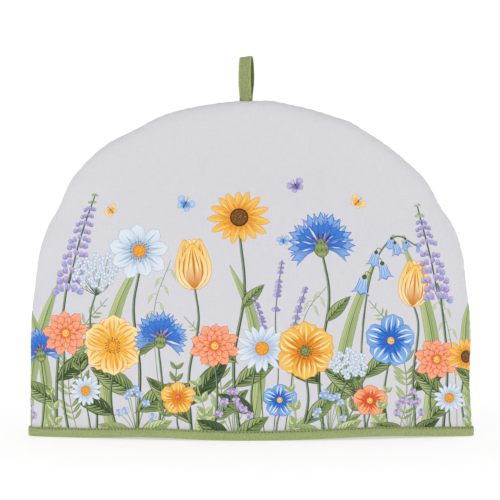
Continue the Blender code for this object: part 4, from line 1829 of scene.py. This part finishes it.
@dataclass
class PaddedPanel:
    """One panel of the cosy: printed face, padded wall and plain lining, as one closed body."""

    name: str
    node: str
    side: int
    art: Artwork
    shape: DomeShape
    relief: Relief
    grid: float = 2.6
    lining_grid: float = 5.0
    outline_step: float = 1.4
    seam_rows: tuple[float, ...] = (0.9, 2.0, 3.3, 4.8, 6.6, 8.8)
    merge: float = 0.03
    # Half the width and the height over which points are spread, and how far out the print is cut in
    half_width: float = 190.0
    height: float = 275.0
    print_reach: float = 195.0
    # How far points keep from the hem: those of the seam, of the rows beside it and of the grid
    hem_clear: tuple[float, float, float] = (0.4, 0.8, 1.2)
    # How far the grid's points keep from the seam and its rows, in steps
    seam_clear: float = 0.6
    crease_angle: float = 55.0

    def outline(self) -> Array:
        """Outlines the flat cloth.

        Returns:
            The points of the hem from left to right, then of the seam back to the left.
        """
        shape = self.shape
        bearings = np.linspace(0, 180, 721)
        turns = np.radians(bearings)
        seam = shape.length(bearings)[:, None] * columns(np.cos(turns), np.sin(turns))
        seam = seam[seam[:, 1] > shape.hem_line + self.hem_clear[0]]
        run = run_of(seam)
        even = np.linspace(0, run[-1], int(run[-1] / self.outline_step))
        seam = columns(*(np.interp(even, run, side) for side in seam.T))
        half = shape.length(np.array([0.5]))[0]
        hem_x = np.linspace(-half, half, int(2 * half / self.outline_step))
        hem = columns(hem_x, np.full(len(hem_x), shape.hem_line))
        return np.concatenate([hem, seam])

    def scatter(self, step: float, rows: Sequence[float]) -> Array:
        """Spreads points over the flat cloth.

        Args:
            step: The distance between them.
            rows: How far from the seam extra rows of points run.

        Returns:
            The points, in rows.
        """
        shape = self.shape
        xs = np.arange(-self.half_width, self.half_width, step)
        ys = np.arange(shape.hem_line + self.hem_clear[2], self.height, step * TRIANGLE_HEIGHT)
        grid_x, grid_y = np.meshgrid(xs, ys)
        grid_x = grid_x + (np.arange(len(ys)) % 2)[:, None] * step / 2
        flat = columns(grid_x.ravel(), grid_y.ravel())
        bearing, share = shape.polar(flat)
        to_seam = shape.length(bearing) * (1 - share)
        kept = [flat[to_seam > max(rows) + step * self.seam_clear]]
        for number, row in enumerate(rows):
            turns = np.radians(np.linspace(0, 180, int(760 / (1.5 + 0.12 * row)))) + 0.002 * (number % 2)
            reach = shape.length(np.degrees(turns)) - row
            line = columns(reach * np.cos(turns), reach * np.sin(turns))
            kept.append(line[line[:, 1] > shape.hem_line + self.hem_clear[1]])
        return np.concatenate(kept)

    @staticmethod
    def triangulate(outline: Array, points: Array, lines: Array, merge: float) -> tuple[Array, Array, Array]:
        """Triangulates the inside of an outline, together with other points and lines.

        Args:
            outline: The outline, in anticlockwise order.
            points: The other points.
            lines: Pairs of the other points that stay joined in the mesh.
            merge: How near two points may be before they become one.

        Returns:
            The points, the triangles, and the number of the point made from each point of the outline.
        """
        face = list(range(len(outline)))
        given = [Vector(point) for point in np.concatenate([outline, points])]
        made = delaunay_2d_cdt(given, (lines + len(outline)).tolist(), [face], 0, merge, True)
        triangles = np.array([corners for corners, owners in zip(made[2], made[5]) if owners])
        kept, renamed = np.unique(triangles, return_inverse=True)
        name_of = np.full(len(made[0]), -1)
        name_of[kept] = np.arange(len(kept))
        origin = np.full(len(outline), -1)
        for number, sources in enumerate(made[3]):
            for source in sources:
                if source < len(outline):
                    origin[source] = name_of[number]
        return np.array([tuple(point) for point in made[0]])[kept], renamed.reshape(triangles.shape), origin

    def seen_lines(self, flat: Array, tris: Array, top: Array) -> Array:
        """Finds the lines of the print that are seen, without those that other shapes cover.

        Args:
            flat: The flat points.
            tris: The triangles.
            top: The patch on each triangle.

        Returns:
            Pairs of points.
        """
        looks = {}
        for number, patch in enumerate([*self.art.patches, None]):
            fading = patch is not None and patch.fade is not None
            looks[number] = number if fading else -1 - list(Ink).index(patch.ink if patch else Ink.CLOTH)
        look = np.array([looks[number] for number in range(len(looks))])[top]
        edges = np.sort(edges_of(tris), axis=1)
        owner = np.tile(np.arange(len(tris)), 3)
        order = np.argsort(edges[:, 0] * len(flat) + edges[:, 1], kind="stable")
        edges, owner = edges[order], owner[order]
        paired = (edges[1:] == edges[:-1]).all(axis=1)
        differ = look[owner[1:]] != look[owner[:-1]]
        return straightened(flat, edges[1:][paired & differ], boundary(tris))

    def painted(self, middles: Array) -> Array:
        """Finds which patch lies on top at each triangle's middle.

        Args:
            middles: The triangles' middles.

        Returns:
            The patch's number, or -1 on bare cloth.
        """
        order = np.argsort(middles[:, 0])
        across = middles[order, 0]
        top = np.full(len(middles), -1)
        for number, patch in enumerate(self.art.patches):
            (left, low), (right, high) = patch.points.min(axis=0), patch.points.max(axis=0)
            near = order[np.searchsorted(across, left) : np.searchsorted(across, right)]
            near = near[(middles[near, 1] >= low) & (middles[near, 1] <= high)]
            if len(near):
                x, y = middles[near, 0, None], middles[near, 1, None]
                x0, y0 = patch.points.T
                x1, y1 = np.roll(patch.points, -1, axis=0).T
                rise = np.where(y1 == y0, 1e-12, y1 - y0)
                crossed = ((y0 > y) != (y1 > y)) & (x < x0 + (y - y0) * (x1 - x0) / rise)
                top[near[np.count_nonzero(crossed, axis=1) % 2 == 1]] = number
        return top

    def inks(self, top: Array, corners: Array) -> Array:
        """Mixes the colour of every corner of the printed triangles.

        Args:
            top: The patch on each triangle.
            corners: The flat places of each triangle's corners.

        Returns:
            Linear colours with alpha, for every corner.
        """
        mixed = {ink: linear(ink.value) for ink in Ink}
        bare = Patch(np.zeros((1, 2)), Ink.CLOTH)
        patches = [*self.art.patches, bare]
        first = np.array([mixed[patch.ink] for patch in patches])[top][:, None]
        second = np.array([mixed[patch.fade or patch.ink] for patch in patches])[top][:, None]
        start = np.array([patch.start for patch in patches])[top][:, None]
        run = np.array([patch.end for patch in patches])[top][:, None] - start
        share = ((corners - start) * run).sum(axis=2) / np.maximum((run * run).sum(axis=2), 1e-9)
        share = np.clip(share, 0, 1)[:, :, None]
        colour = np.ones((len(top), 3, 4))
        colour[:, :, :3] = first * (1 - share) + second * share
        return colour.reshape(-1, 4)

    def printed_face(self) -> tuple[Array, Array]:
        """Cuts the flat cloth into triangles along the seen edges of its print.

        Returns:
            The flat points and the triangles.
        """
        outlines = [patch.points for patch in self.art.patches]
        near = [points for points in outlines if np.abs(points[:, 0]).min() < self.print_reach]
        lines, base = [], 0
        for points in near:
            here = np.arange(len(points))
            lines.append(columns(here, np.roll(here, -1)) + base)
            base += len(points)
        points = np.concatenate(near)
        flat, tris, _ = self.triangulate(self.outline(), points, np.concatenate(lines), self.merge)
        seen = self.seen_lines(flat, tris, self.painted(flat[tris].mean(axis=1)))
        kept, renamed = np.unique(seen, return_inverse=True)
        loose = self.scatter(self.grid, self.seam_rows)
        rim = flat[boundary(tris)]
        points = np.concatenate([flat[kept], loose])
        flat, tris, _ = self.triangulate(rim, points, renamed.reshape(seen.shape), self.merge / 10)
        return flat, tris

    def bend(self, flat: Array, lining: bool) -> Array:
        """Bends flat cloth to the panel's shape.

        Args:
            flat: The flat places.
            lining: Whether it is the lining, which lies a wall's thickness inside.

        Returns:
            The points in space, in metres.
        """
        shape = self.shape
        bearing, share = shape.polar(flat)
        placed, facing = shape.place(bearing, share), shape.normal(bearing, share)
        pressed = 1 - ease(shape.pressed_to, shape.free_from, placed[:, 2])
        placed = placed - unit(facing * (1, 1, 0)) * (shape.draw_in * pressed)[:, None]
        if lining:
            placed = placed - facing * shape.wall_at(placed[:, 2])[:, None]
        else:
            placed = placed + facing * self.relief.at(flat, shape)[:, None]
        placed[:, 1] = np.minimum(placed[:, 1], -shape.half_gap)
        placed[:, 2] = np.maximum(placed[:, 2], shape.hem_line - 0.1)
        placed = placed * (1, -self.side, 1)
        placed[:, 2] += shape.hem_lift(placed)
        return placed * MM

    def build(self, cotton: Material, lining: Material) -> Object:
        """Builds the panel.

        Args:
            cotton: The printed cotton.
            lining: The plain lining.

        Returns:
            The panel's object.
        """
        flat, tris = self.printed_face()
        colours = self.inks(self.painted(flat[tris].mean(axis=1)), flat[tris])
        rim = boundary(tris)
        loose, none = self.scatter(self.lining_grid, (3.0,)), np.zeros((0, 2), int)
        back_flat, back_tris, back_rim = self.triangulate(flat[rim], loose, none, self.merge / 20)

        face, back = self.bend(flat, False), self.bend(back_flat, True)
        count = len(face)
        following, back_following = np.roll(rim, -1), np.roll(back_rim, -1)
        over, after = back_rim + count, back_following + count
        wall = np.concatenate([columns(rim, over, following), columns(following, over, after)])
        triangles = np.concatenate([tris, back_tris[:, ::-1] + count, wall])
        if self.side > 0:
            triangles = triangles[:, ::-1]
            colours = colours.reshape(-1, 3, 4)[:, ::-1].reshape(-1, 4)
        mesh = bpy.data.meshes.new(self.name)
        mesh.from_pydata(np.concatenate([face, back]).tolist(), [], triangles.tolist())
        mesh.materials.append(cotton)
        mesh.materials.append(lining)
        plain = np.zeros(len(triangles), np.int32)
        plain[len(tris) :] = 1
        mesh.polygons.foreach_set("material_index", plain)
        ink = mesh.color_attributes.new("ink", "FLOAT_COLOR", "CORNER")
        rest = np.tile((*linear(Ink.CLOTH.value), 1.0), ((len(triangles) - len(tris)) * 3, 1))
        ink.data.foreach_set("color", np.concatenate([colours, rest]).astype(np.float32).ravel())
        add_weave_map(mesh, np.concatenate([flat, back_flat]) * MM)
        mesh.shade_smooth()
        mesh.set_sharp_from_angle(angle=math.radians(self.crease_angle))
        made = new_object(self.name, mesh)
        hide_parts(self.node)
        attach(made, "root")
        log.info("%s: %d triangles, %d patches", self.name, len(triangles), len(self.art.patches))
        return made


def straightened(points: Array, lines: Array, fixed: Array) -> Array:
    """Joins lines that run straight on through a point where only two of them meet.

    Args:
        points: The points, in rows.
        lines: Pairs of points.
        fixed: The points that stay.

    Returns:
        Fewer pairs of points.
    """
    joined: dict[int, set[int]] = {}
    for first, second in lines.tolist():
        joined.setdefault(first, set()).add(second)
        joined.setdefault(second, set()).add(first)
    places, kept = points.tolist(), set(fixed.tolist())
    for point, ends in joined.items():
        if len(ends) != 2 or point in kept:
            continue
        before, after = ends
        (x0, y0), (x, y), (x1, y1) = places[before], places[point], places[after]
        ax, ay, bx, by = x - x0, y - y0, x1 - x, y1 - y
        run = math.hypot(ax, ay) * math.hypot(bx, by)
        if ax * bx + ay * by > 0 and abs(ax * by - ay * bx) < 0.03 * run and after not in joined[before]:
            joined[before] ^= {point, after}
            joined[after] ^= {point, before}
            joined[point] = set()
    return np.array([(first, second) for first, ends in joined.items() for second in ends if first < second])


def boundary(triangles: Array) -> Array:
    """Follows the open edge of a mesh of triangles.

    Args:
        triangles: The triangles.

    Returns:
        The points along it, in the order in which they run.
    """
    edges = edges_of(triangles)
    size = int(triangles.max()) + 1
    free = edges[~np.isin(edges[:, 0] * size + edges[:, 1], edges[:, 1] * size + edges[:, 0])]
    after = dict(zip(free[:, 0].tolist(), free[:, 1].tolist()))
    ring = [min(after)]
    while after[ring[-1]] != ring[0]:
        ring.append(after[ring[-1]])
    return np.array(ring)


@dataclass
class HemTape:
    """The tape folded over the raw hem, with its row of edge stitches outside and in."""

    shape: DomeShape
    tape: float = 1.2
    height: float = 7.2
    clear: float = 0.3
    corner: float = 0.9
    step: float = 0.9
    stitch_height: float = 6.3
    stitch_pitch: float = 2.7
    stitch_dip: float = 0.34
    dip_spread: float = 0.55
    lip: float = 0.6
    bulge: float = 0.12
    # The tape's slow and quick waves: their sizes, and how far they move its face and its lip
    wave_size: float = 17.0
    face_wave: float = 0.16
    lip_wave: float = 0.22
    ripple_size: float = 4.2
    face_ripple: float = 0.07
    lip_ripple: float = 0.08
    still_below: float = 2.0
    # How much painted shade darkens the tape along its dips and towards its lip, and at which heights it does
    # so
    dip_shade: float = 0.3
    lip_shade: float = 0.16
    lip_shade_heights: tuple[float, float] = (4.4, 6.2)

    @property
    def core(self) -> float:
        """Half the width of the channel that holds the wall."""
        return self.shape.wall * self.shape.hem_wall_share / 2 + self.clear

    @property
    def inset(self) -> float:
        """How far the tape's middle line lies inside the panels' faces."""
        return self.shape.draw_in + self.shape.wall * self.shape.hem_wall_share / 2

    def section(self) -> Array:
        """Draws the folded tape's closed section.

        Returns:
            Its points, across and up from the floor.
        """
        outer = self.core + self.tape
        turn = np.linspace(-np.pi / 2, 0, 5)
        out = outer - self.corner + self.corner * np.cos(turn)
        foot = columns(out, self.corner + self.corner * np.sin(turn))
        climb = np.linspace(self.corner, self.height - self.lip, 14)[1:]
        side = columns(outer + self.bulge * np.sin(np.pi * climb / self.height), climb)
        turn = np.linspace(0, np.pi, 6)[1:]
        middle, top = self.core + self.tape / 2, self.height - self.lip
        lip = columns(middle + self.tape / 2 * np.cos(turn), top + self.lip * np.sin(turn))
        channel = np.array([(self.core, 4.5), (self.core, self.tape + 0.4), (self.core - 0.4, self.tape)])
        right = np.concatenate([foot, side, lip, channel])
        bottom = np.array([(across, 0.0) for across in np.linspace(-1, 1, 5)[1:-1] * (outer - self.corner)])
        return np.concatenate([right, right[::-1] * (-1, 1), bottom])

    def build(self, tree: Tree, cloth: Material) -> Object:
        """Sweeps the tape round the hem and presses the stitches into it.

        Args:
            tree: The node tree that sweeps a section along a line.
            cloth: The tape's finish.

        Returns:
            The tape's object.
        """
        plan = self.shape.hem_line_round(self.inset)
        path = columns(*plan.T, np.zeros(len(plan))) * MM
        values = {"Step": self.step * MM, "Upright": True, "Caps": False, "Cloth": cloth}
        section = self.section()[::-1] * (MM, -MM)
        made, points, along, around = sweep(tree, "hem_tape", path, section, values)
        nearest = np.empty(len(points), int)
        for start in range(0, len(points), 2000):
            block = points[start : start + 2000, None, :2] - plan[None]
            nearest[start : start + 2000] = (block**2).sum(axis=2).argmin(axis=1)
        across = points[:, :2] - plan[nearest]
        distance = np.maximum(np.linalg.norm(across, axis=1), 1e-6)
        facing = across / distance[:, None]
        on_face = ease(self.core + 0.5, self.core + 0.9, distance)
        row = np.exp(-(((points[:, 2] - self.stitch_height) / self.dip_spread) ** 2)) * on_face
        wave, ripple = uneven(along, self.wave_size, 3.0), uneven(along, self.ripple_size, 8.0)
        lifted = ease(self.still_below, self.height, points[:, 2])
        moved = self.face_wave * wave + self.face_ripple * ripple
        points[:, :2] -= facing * (self.stitch_dip * row)[:, None]
        points[:, :2] += facing * (on_face * moved)[:, None]
        raised = lifted * (self.lip_wave * wave + self.lip_ripple * ripple)
        points[:, 2] += raised + self.shape.hem_lift(points)
        # Painted shade: darker towards the lip and along the stitch dips
        upper = self.lip_shade * ease(*self.lip_shade_heights, points[:, 2]) * on_face
        lay_tape(made.data, points * MM, columns(along, around) * MM, upper + self.dip_shade * row)
        return made

    def stitch_line(self, side: int, depth: float = 0.08, skipped: int = 0) -> Array:
        """Returns the closed line of the stitches on one leg of the tape, in metres.

        Args:
            side: 1 for the outer leg, -1 for the inner one.
            depth: How far the line lies under the tape's face.
            skipped: How many of its points come last instead of first.

        Returns:
            The line's points.
        """
        ring = self.shape.hem_line_round(self.inset - side * (self.core + self.tape - depth))
        ring = np.roll(ring, -skipped, axis=0)
        points = columns(*ring.T, np.full(len(ring), self.stitch_height))
        points[:, 2] += self.shape.hem_lift(points)
        return points * MM


@dataclass
class HangingLoop:
    """The doubled tape that stands in the top of the seam."""

    shape: DomeShape
    tape: float = 1.15
    width: float = 9.6
    x: float = -4.0
    turn: float = -17.0
    height: float = 34.0
    slant: float = 1.3
    root: float = 4.4
    front_share: float = 0.7
    back_share: float = 1.15
    step: float = 0.5
    stitches_from: float = 1.5
    # The front leg's outer face: height above the seam, distance from the loop's middle plane
    leg: tuple[Point, ...] = (
        (0.0, 1.4), (3.0, 1.9), (8.0, 3.8), (14.0, 5.3), (20.0, 5.6),
        (26.0, 4.9), (30.5, 3.6), (33.2, 2.2), (34.0, 0.0),
    )

    def seat(self) -> Matrix:
        """Finds where the loop stands and how it is turned.

        Returns:
            The matrix that puts it there.
        """
        bearing = np.degrees(np.arctan2(self.shape.seam_reach(np.array([90.0])), self.x))
        reach = self.shape.seam_reach(bearing)[0]
        top = float(reach * np.sin(np.radians(bearing[0]))) - self.shape.groove_depth
        stand = Matrix.Translation((self.x * MM, 0.0, top * MM))
        return stand @ Matrix.Rotation(math.radians(self.turn), 4, "Z")

    def middle_line(self, lift: float = 0.0) -> Array:
        """Draws the line along the middle of the tape, from one root to the other.

        Args:
            lift: How far outside the tape's middle the line runs.

        Returns:
            Points across and up, in millimetres.
        """
        rows = [(-reach * self.front_share, up) for up, reach in self.leg[1:]]
        rows += [(reach * self.back_share, up) for up, reach in self.leg[-2:0:-1]]
        outer = smooth_line([(-self.tape, -self.root), *rows, (self.tape, -self.root)], 6)
        heading = unit(np.gradient(outer, axis=0))
        return outer + columns(heading[:, 1], -heading[:, 0]) * (self.tape / 2 - lift)

    def placed(self, points: Array) -> Array:
        """Slants the loop's points and stands them in their place.

        Args:
            points: The points, in millimetres.

        Returns:
            The placed points, in metres.
        """
        slanted = points.copy()
        slanted[:, 2] += self.slant * points[:, 0] / self.width * np.maximum(points[:, 2] / self.height, 0)
        seat = np.array(self.seat())
        return (slanted * MM) @ seat[:3, :3].T + seat[:3, 3]

    def build(self, tree: Tree, cloth: Material) -> Object:
        """Sweeps the tape round the loop.

        Args:
            tree: The node tree that sweeps a section along a line.
            cloth: The tape's finish.

        Returns:
            The loop's object.
        """
        line = self.middle_line()
        half, thick = self.width / 2, self.tape / 2
        turn = np.linspace(-np.pi / 2, np.pi / 2, 7)
        end = columns(half - thick + thick * np.cos(turn), thick * np.sin(turn))
        flat = np.linspace(half - thick, -(half - thick), 15)[1:-1]
        top = columns(flat, np.full(len(flat), thick))
        section = np.concatenate([end, top, -end, -top]) * MM
        path = columns(np.zeros(len(line)), *line.T) * MM
        values = {"Step": self.step * MM, "Upright": False, "Caps": True, "Cloth": cloth}
        made, points, along, around = sweep(tree, "hanging_loop_tape", path, section, values)
        points[:, 0] += 0.16 * uneven(along, 7.0, 1.0) * np.sign(points[:, 0])
        # The loop's painted shade and highlight
        sewn_and_painted_shade = self.shade(along, points)
        lay_tape(made.data, self.placed(points), columns(along, around) * MM, sewn_and_painted_shade)
        made.data.set_sharp_from_angle(angle=math.radians(60))
        return made

    def shade(self, along: Array, points: Array) -> Array:
        """Works out the tape's painted shade and highlight: a little darker all over, with painted shade most
        inside the loop, on the back leg's rolled edges and in the corners at its root, and a painted
        highlight on the front leg's rolled edges.

        Args:
            along: Each point's place along the tape.
            points: The points before they are placed: across, back and up.

        Returns:
            One value for each point.
        """
        line = self.middle_line()
        lengths, heading = run_of(line), np.gradient(line, axis=0)
        middle = columns(*(np.interp(along, lengths, side) for side in line.T))
        heading = columns(*(np.interp(along, lengths, side) for side in heading.T))
        offset = points[:, 1:] - middle
        outwards = offset[:, 1] * heading[:, 0] - offset[:, 0] * heading[:, 1]
        outwards /= np.linalg.norm(heading, axis=1)
        inside = 1 - ease(-0.15, 0.2, outwards)
        across = np.abs(points[:, 0]) - self.width / 2
        rolled = ease(-0.75, -0.3, across / self.tape)
        behind = ease(0.0, 1.5, points[:, 1])
        corner = ease(-3.0, -0.2, across) * (1 - ease(1.8, 3.4, points[:, 2])) * (1 - behind)
        # Painted shade inside the loop, on the back leg's rolled edges and in the root's corners; painted
        # highlight on the front leg's rolled edges
        return (0.28 + 0.86 * inside) * (1 - rolled) + rolled * (1.3 * behind - 0.37) + 1.1 * corner

    def stitch_line(self, across: float) -> Array:
        """Draws the line of the edge stitches.

        Args:
            across: Its place across the tape.

        Returns:
            Its points, in metres.
        """
        line = self.middle_line(self.tape / 2 - 0.05)
        line = line[line[:, 1] > self.stitches_from]
        return self.placed(columns(np.full(len(line), across), *line.T))


@dataclass
class Studio:
    """The floor, the soft light and the camera at the photograph's angle."""

    elevation: float = 0.9
    distance: float = 2.0
    frame_width: float = 0.3770
    aim: tuple[float, float, float] = (-0.0009, 0.0, 0.1400)
    sky: float = 0.345
    paper_glow: float = 0.5
    # Each lamp's name, place, size and power, and the height that both point at
    lamps: tuple[tuple[str, tuple[float, float, float], float, float], ...] = (
        ("key_light", (-1.1, -2.0, 1.1), 1.8, 5.6),
        ("fill_light", (1.4, -1.9, 0.3), 2.0, 3.7),
    )
    lit_height: float = 0.12

    def build(self) -> None:
        """Builds all three."""
        self.backdrop()
        self.lights()
        self.camera()

    def backdrop(self) -> None:
        """Lays a round pale floor that curves up to a wall on every side, far from the cosy."""
        reach, curve, top, sides = 3.4, 1.0, 4.5, 72
        profile = [(0.6, 0.0), (reach - curve, 0.0)]
        for turn in np.linspace(0, math.pi / 2, 9)[1:]:
            profile.append((reach - curve + curve * math.sin(turn), curve - curve * math.cos(turn)))
        profile.append((reach, top))
        turns = np.linspace(0, 2 * math.pi, sides, endpoint=False)
        points = [(0.0, 0.0, 0.0)]
        for out, up in profile:
            points += [(out * math.cos(turn), out * math.sin(turn), up) for turn in turns]
        faces: list[tuple[int, ...]] = [(0, 1 + side, 1 + (side + 1) % sides) for side in range(sides)]
        for ring in range(len(profile) - 1):
            base = 1 + ring * sides
            for side in range(sides):
                after = (side + 1) % sides
                faces.append((base + side, base + sides + side, base + sides + after, base + after))
        mesh = bpy.data.meshes.new("studio_floor")
        mesh.from_pydata(points, [], faces)
        mesh.shade_smooth()
        looks = {"Base Color": (0.62, 0.62, 0.62, 1.0), "Roughness": 0.9, "Specular IOR Level": 0.1}
        glow = {"Emission Color": (1.0, 1.0, 1.0, 1.0), "Emission Strength": self.paper_glow}
        paper, _, _ = new_material("pale_paper", {**looks, **glow})
        mesh.materials.append(paper)
        new_object("studio_floor", mesh)

    def lights(self) -> None:
        """Hangs two large soft lights and sets an even white sky."""
        for name, place, size, power in self.lamps:
            lamp = bpy.data.lights.new(name, "AREA")
            lamp.size, lamp.energy = size, power
            made = new_object(name, lamp)
            made.location = place
            towards = Vector((0.0, 0.0, self.lit_height)) - made.location
            made.rotation_euler = towards.to_track_quat("-Z", "Y").to_euler()
        world = bpy.data.worlds.new("even_sky")
        world.use_nodes = True
        light = {"Color": (1.0, 1.0, 1.0, 1.0), "Strength": self.sky}
        Graph(world.node_tree).feed(world.node_tree.nodes["Background"], light)
        bpy.context.scene.world = world
        bpy.context.scene.view_settings.view_transform = "Standard"

    def camera(self) -> None:
        """Sets the camera before the front panel, a little above it."""
        lens = bpy.data.cameras.new("camera")
        lens.sensor_width = 36.0
        lens.lens = lens.sensor_width * self.distance / self.frame_width
        lens.clip_end = 50.0
        made = new_object("camera", lens)
        tilt = math.radians(self.elevation)
        made.location = Vector(self.aim) + self.distance * Vector((0.0, -math.cos(tilt), math.sin(tilt)))
        made.rotation_euler = (math.pi / 2 - tilt, 0.0, 0.0)
        bpy.context.scene.camera = made


@dataclass
class TeaCosy:
    """The whole cosy, piece by piece."""

    shape: DomeShape = field(default_factory=DomeShape)
    repeat: float = 376.0
    back_shift: float = 188.0

    def build(self) -> None:
        """Builds and dresses every piece."""
        weave = weave_group()
        printed = ClothFinish("printed_cotton", pitch=0.42, slub=0.12, bump=0.25, mottle=0.035, printed=True)
        cotton = printed.material(weave)
        lining = ClothFinish("plain_lining", (226, 222, 212), 0.5, 0.5).material(weave)
        green = ClothFinish("green_tape", (157, 168, 114), 0.4, 0.4, 0.85, 0.15, 0.5, 0.95)
        art = border()
        PaddedPanel("front_cover", "front_panel", -1, art, self.shape, Relief()).build(cotton, lining)
        back_art = art.moved(self.back_shift, self.repeat, True)
        relief = Relief(seed=31.0)
        PaddedPanel("back_cover", "back_panel", 1, back_art, self.shape, relief).build(cotton, lining)
        self.build_tapes(green.material(weave))

    def build_tapes(self, cloth: Material) -> None:
        """Builds the hem tape, the loop and their stitches.

        Args:
            cloth: The tapes' finish.
        """
        sweeper, sewer = sweep_tree(), stitch_tree()
        thread = ThreadFinish("green_thread", (0.40, 0.45, 0.24)).material()
        # A near-black copy of the thread, for the painted shadows between the hem's outer stitches
        dark = ThreadFinish("thread_in_shadow", (0.06, 0.08, 0.03), 0.9).material()
        hem, loop = HemTape(self.shape), HangingLoop(self.shape)
        tape, hanging = hem.build(sweeper, cloth), loop.build(sweeper, cloth)
        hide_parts("hem_binding")
        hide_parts("hanging_loop")
        pitch = hem.stitch_pitch
        # Each row's line, whether it is closed, its stitches' length and thickness, its thread and its slot
        rows = (
            ("hem_stitches_outside", hem.stitch_line(1), True, (1.75, 0.42), thread, "hem_tape"),
            ("hem_stitches_inside", hem.stitch_line(-1), True, (2.0, 0.42), thread, "hem_tape"),
            # Painted shadows: dark blobs sunk into the tape between the outer stitches
            ("hem_needle_dips", hem.stitch_line(1, 0.42, 2), True, (1.35, 1.0), dark, "hem_tape"),
            ("loop_stitches", loop.stitch_line(-3.6), False, (2.0, 0.42), thread, "loop_tape"),
        )
        for number, (name, line, closed, (length, thickness), finish, slot) in enumerate(rows):
            values = {"Pitch": pitch * MM, "Length": length * MM, "Thickness": thickness * MM}
            values |= {"Seed": number, "Thread": finish}
            made = frozen(line_object(name + "_line", line, closed), name, sewer, values)
            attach(made, "root")
            log.info("%s: %d faces", name, len(made.data.polygons))
        steps = np.diff(self.shape.hem_line_round(hem.inset), axis=0)
        for made, slot in ((tape, "hem_tape"), (hanging, "loop_tape")):
            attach(made, "root")
            log.info("%s: %d faces", made.name, len(made.data.polygons))


def main() -> None:
    """Builds the studio and the cosy."""
    logging.basicConfig(level=logging.INFO, format="%(name)s %(message)s")
    Studio().build()
    TeaCosy().build()


if __name__ == "__main__":
    main()
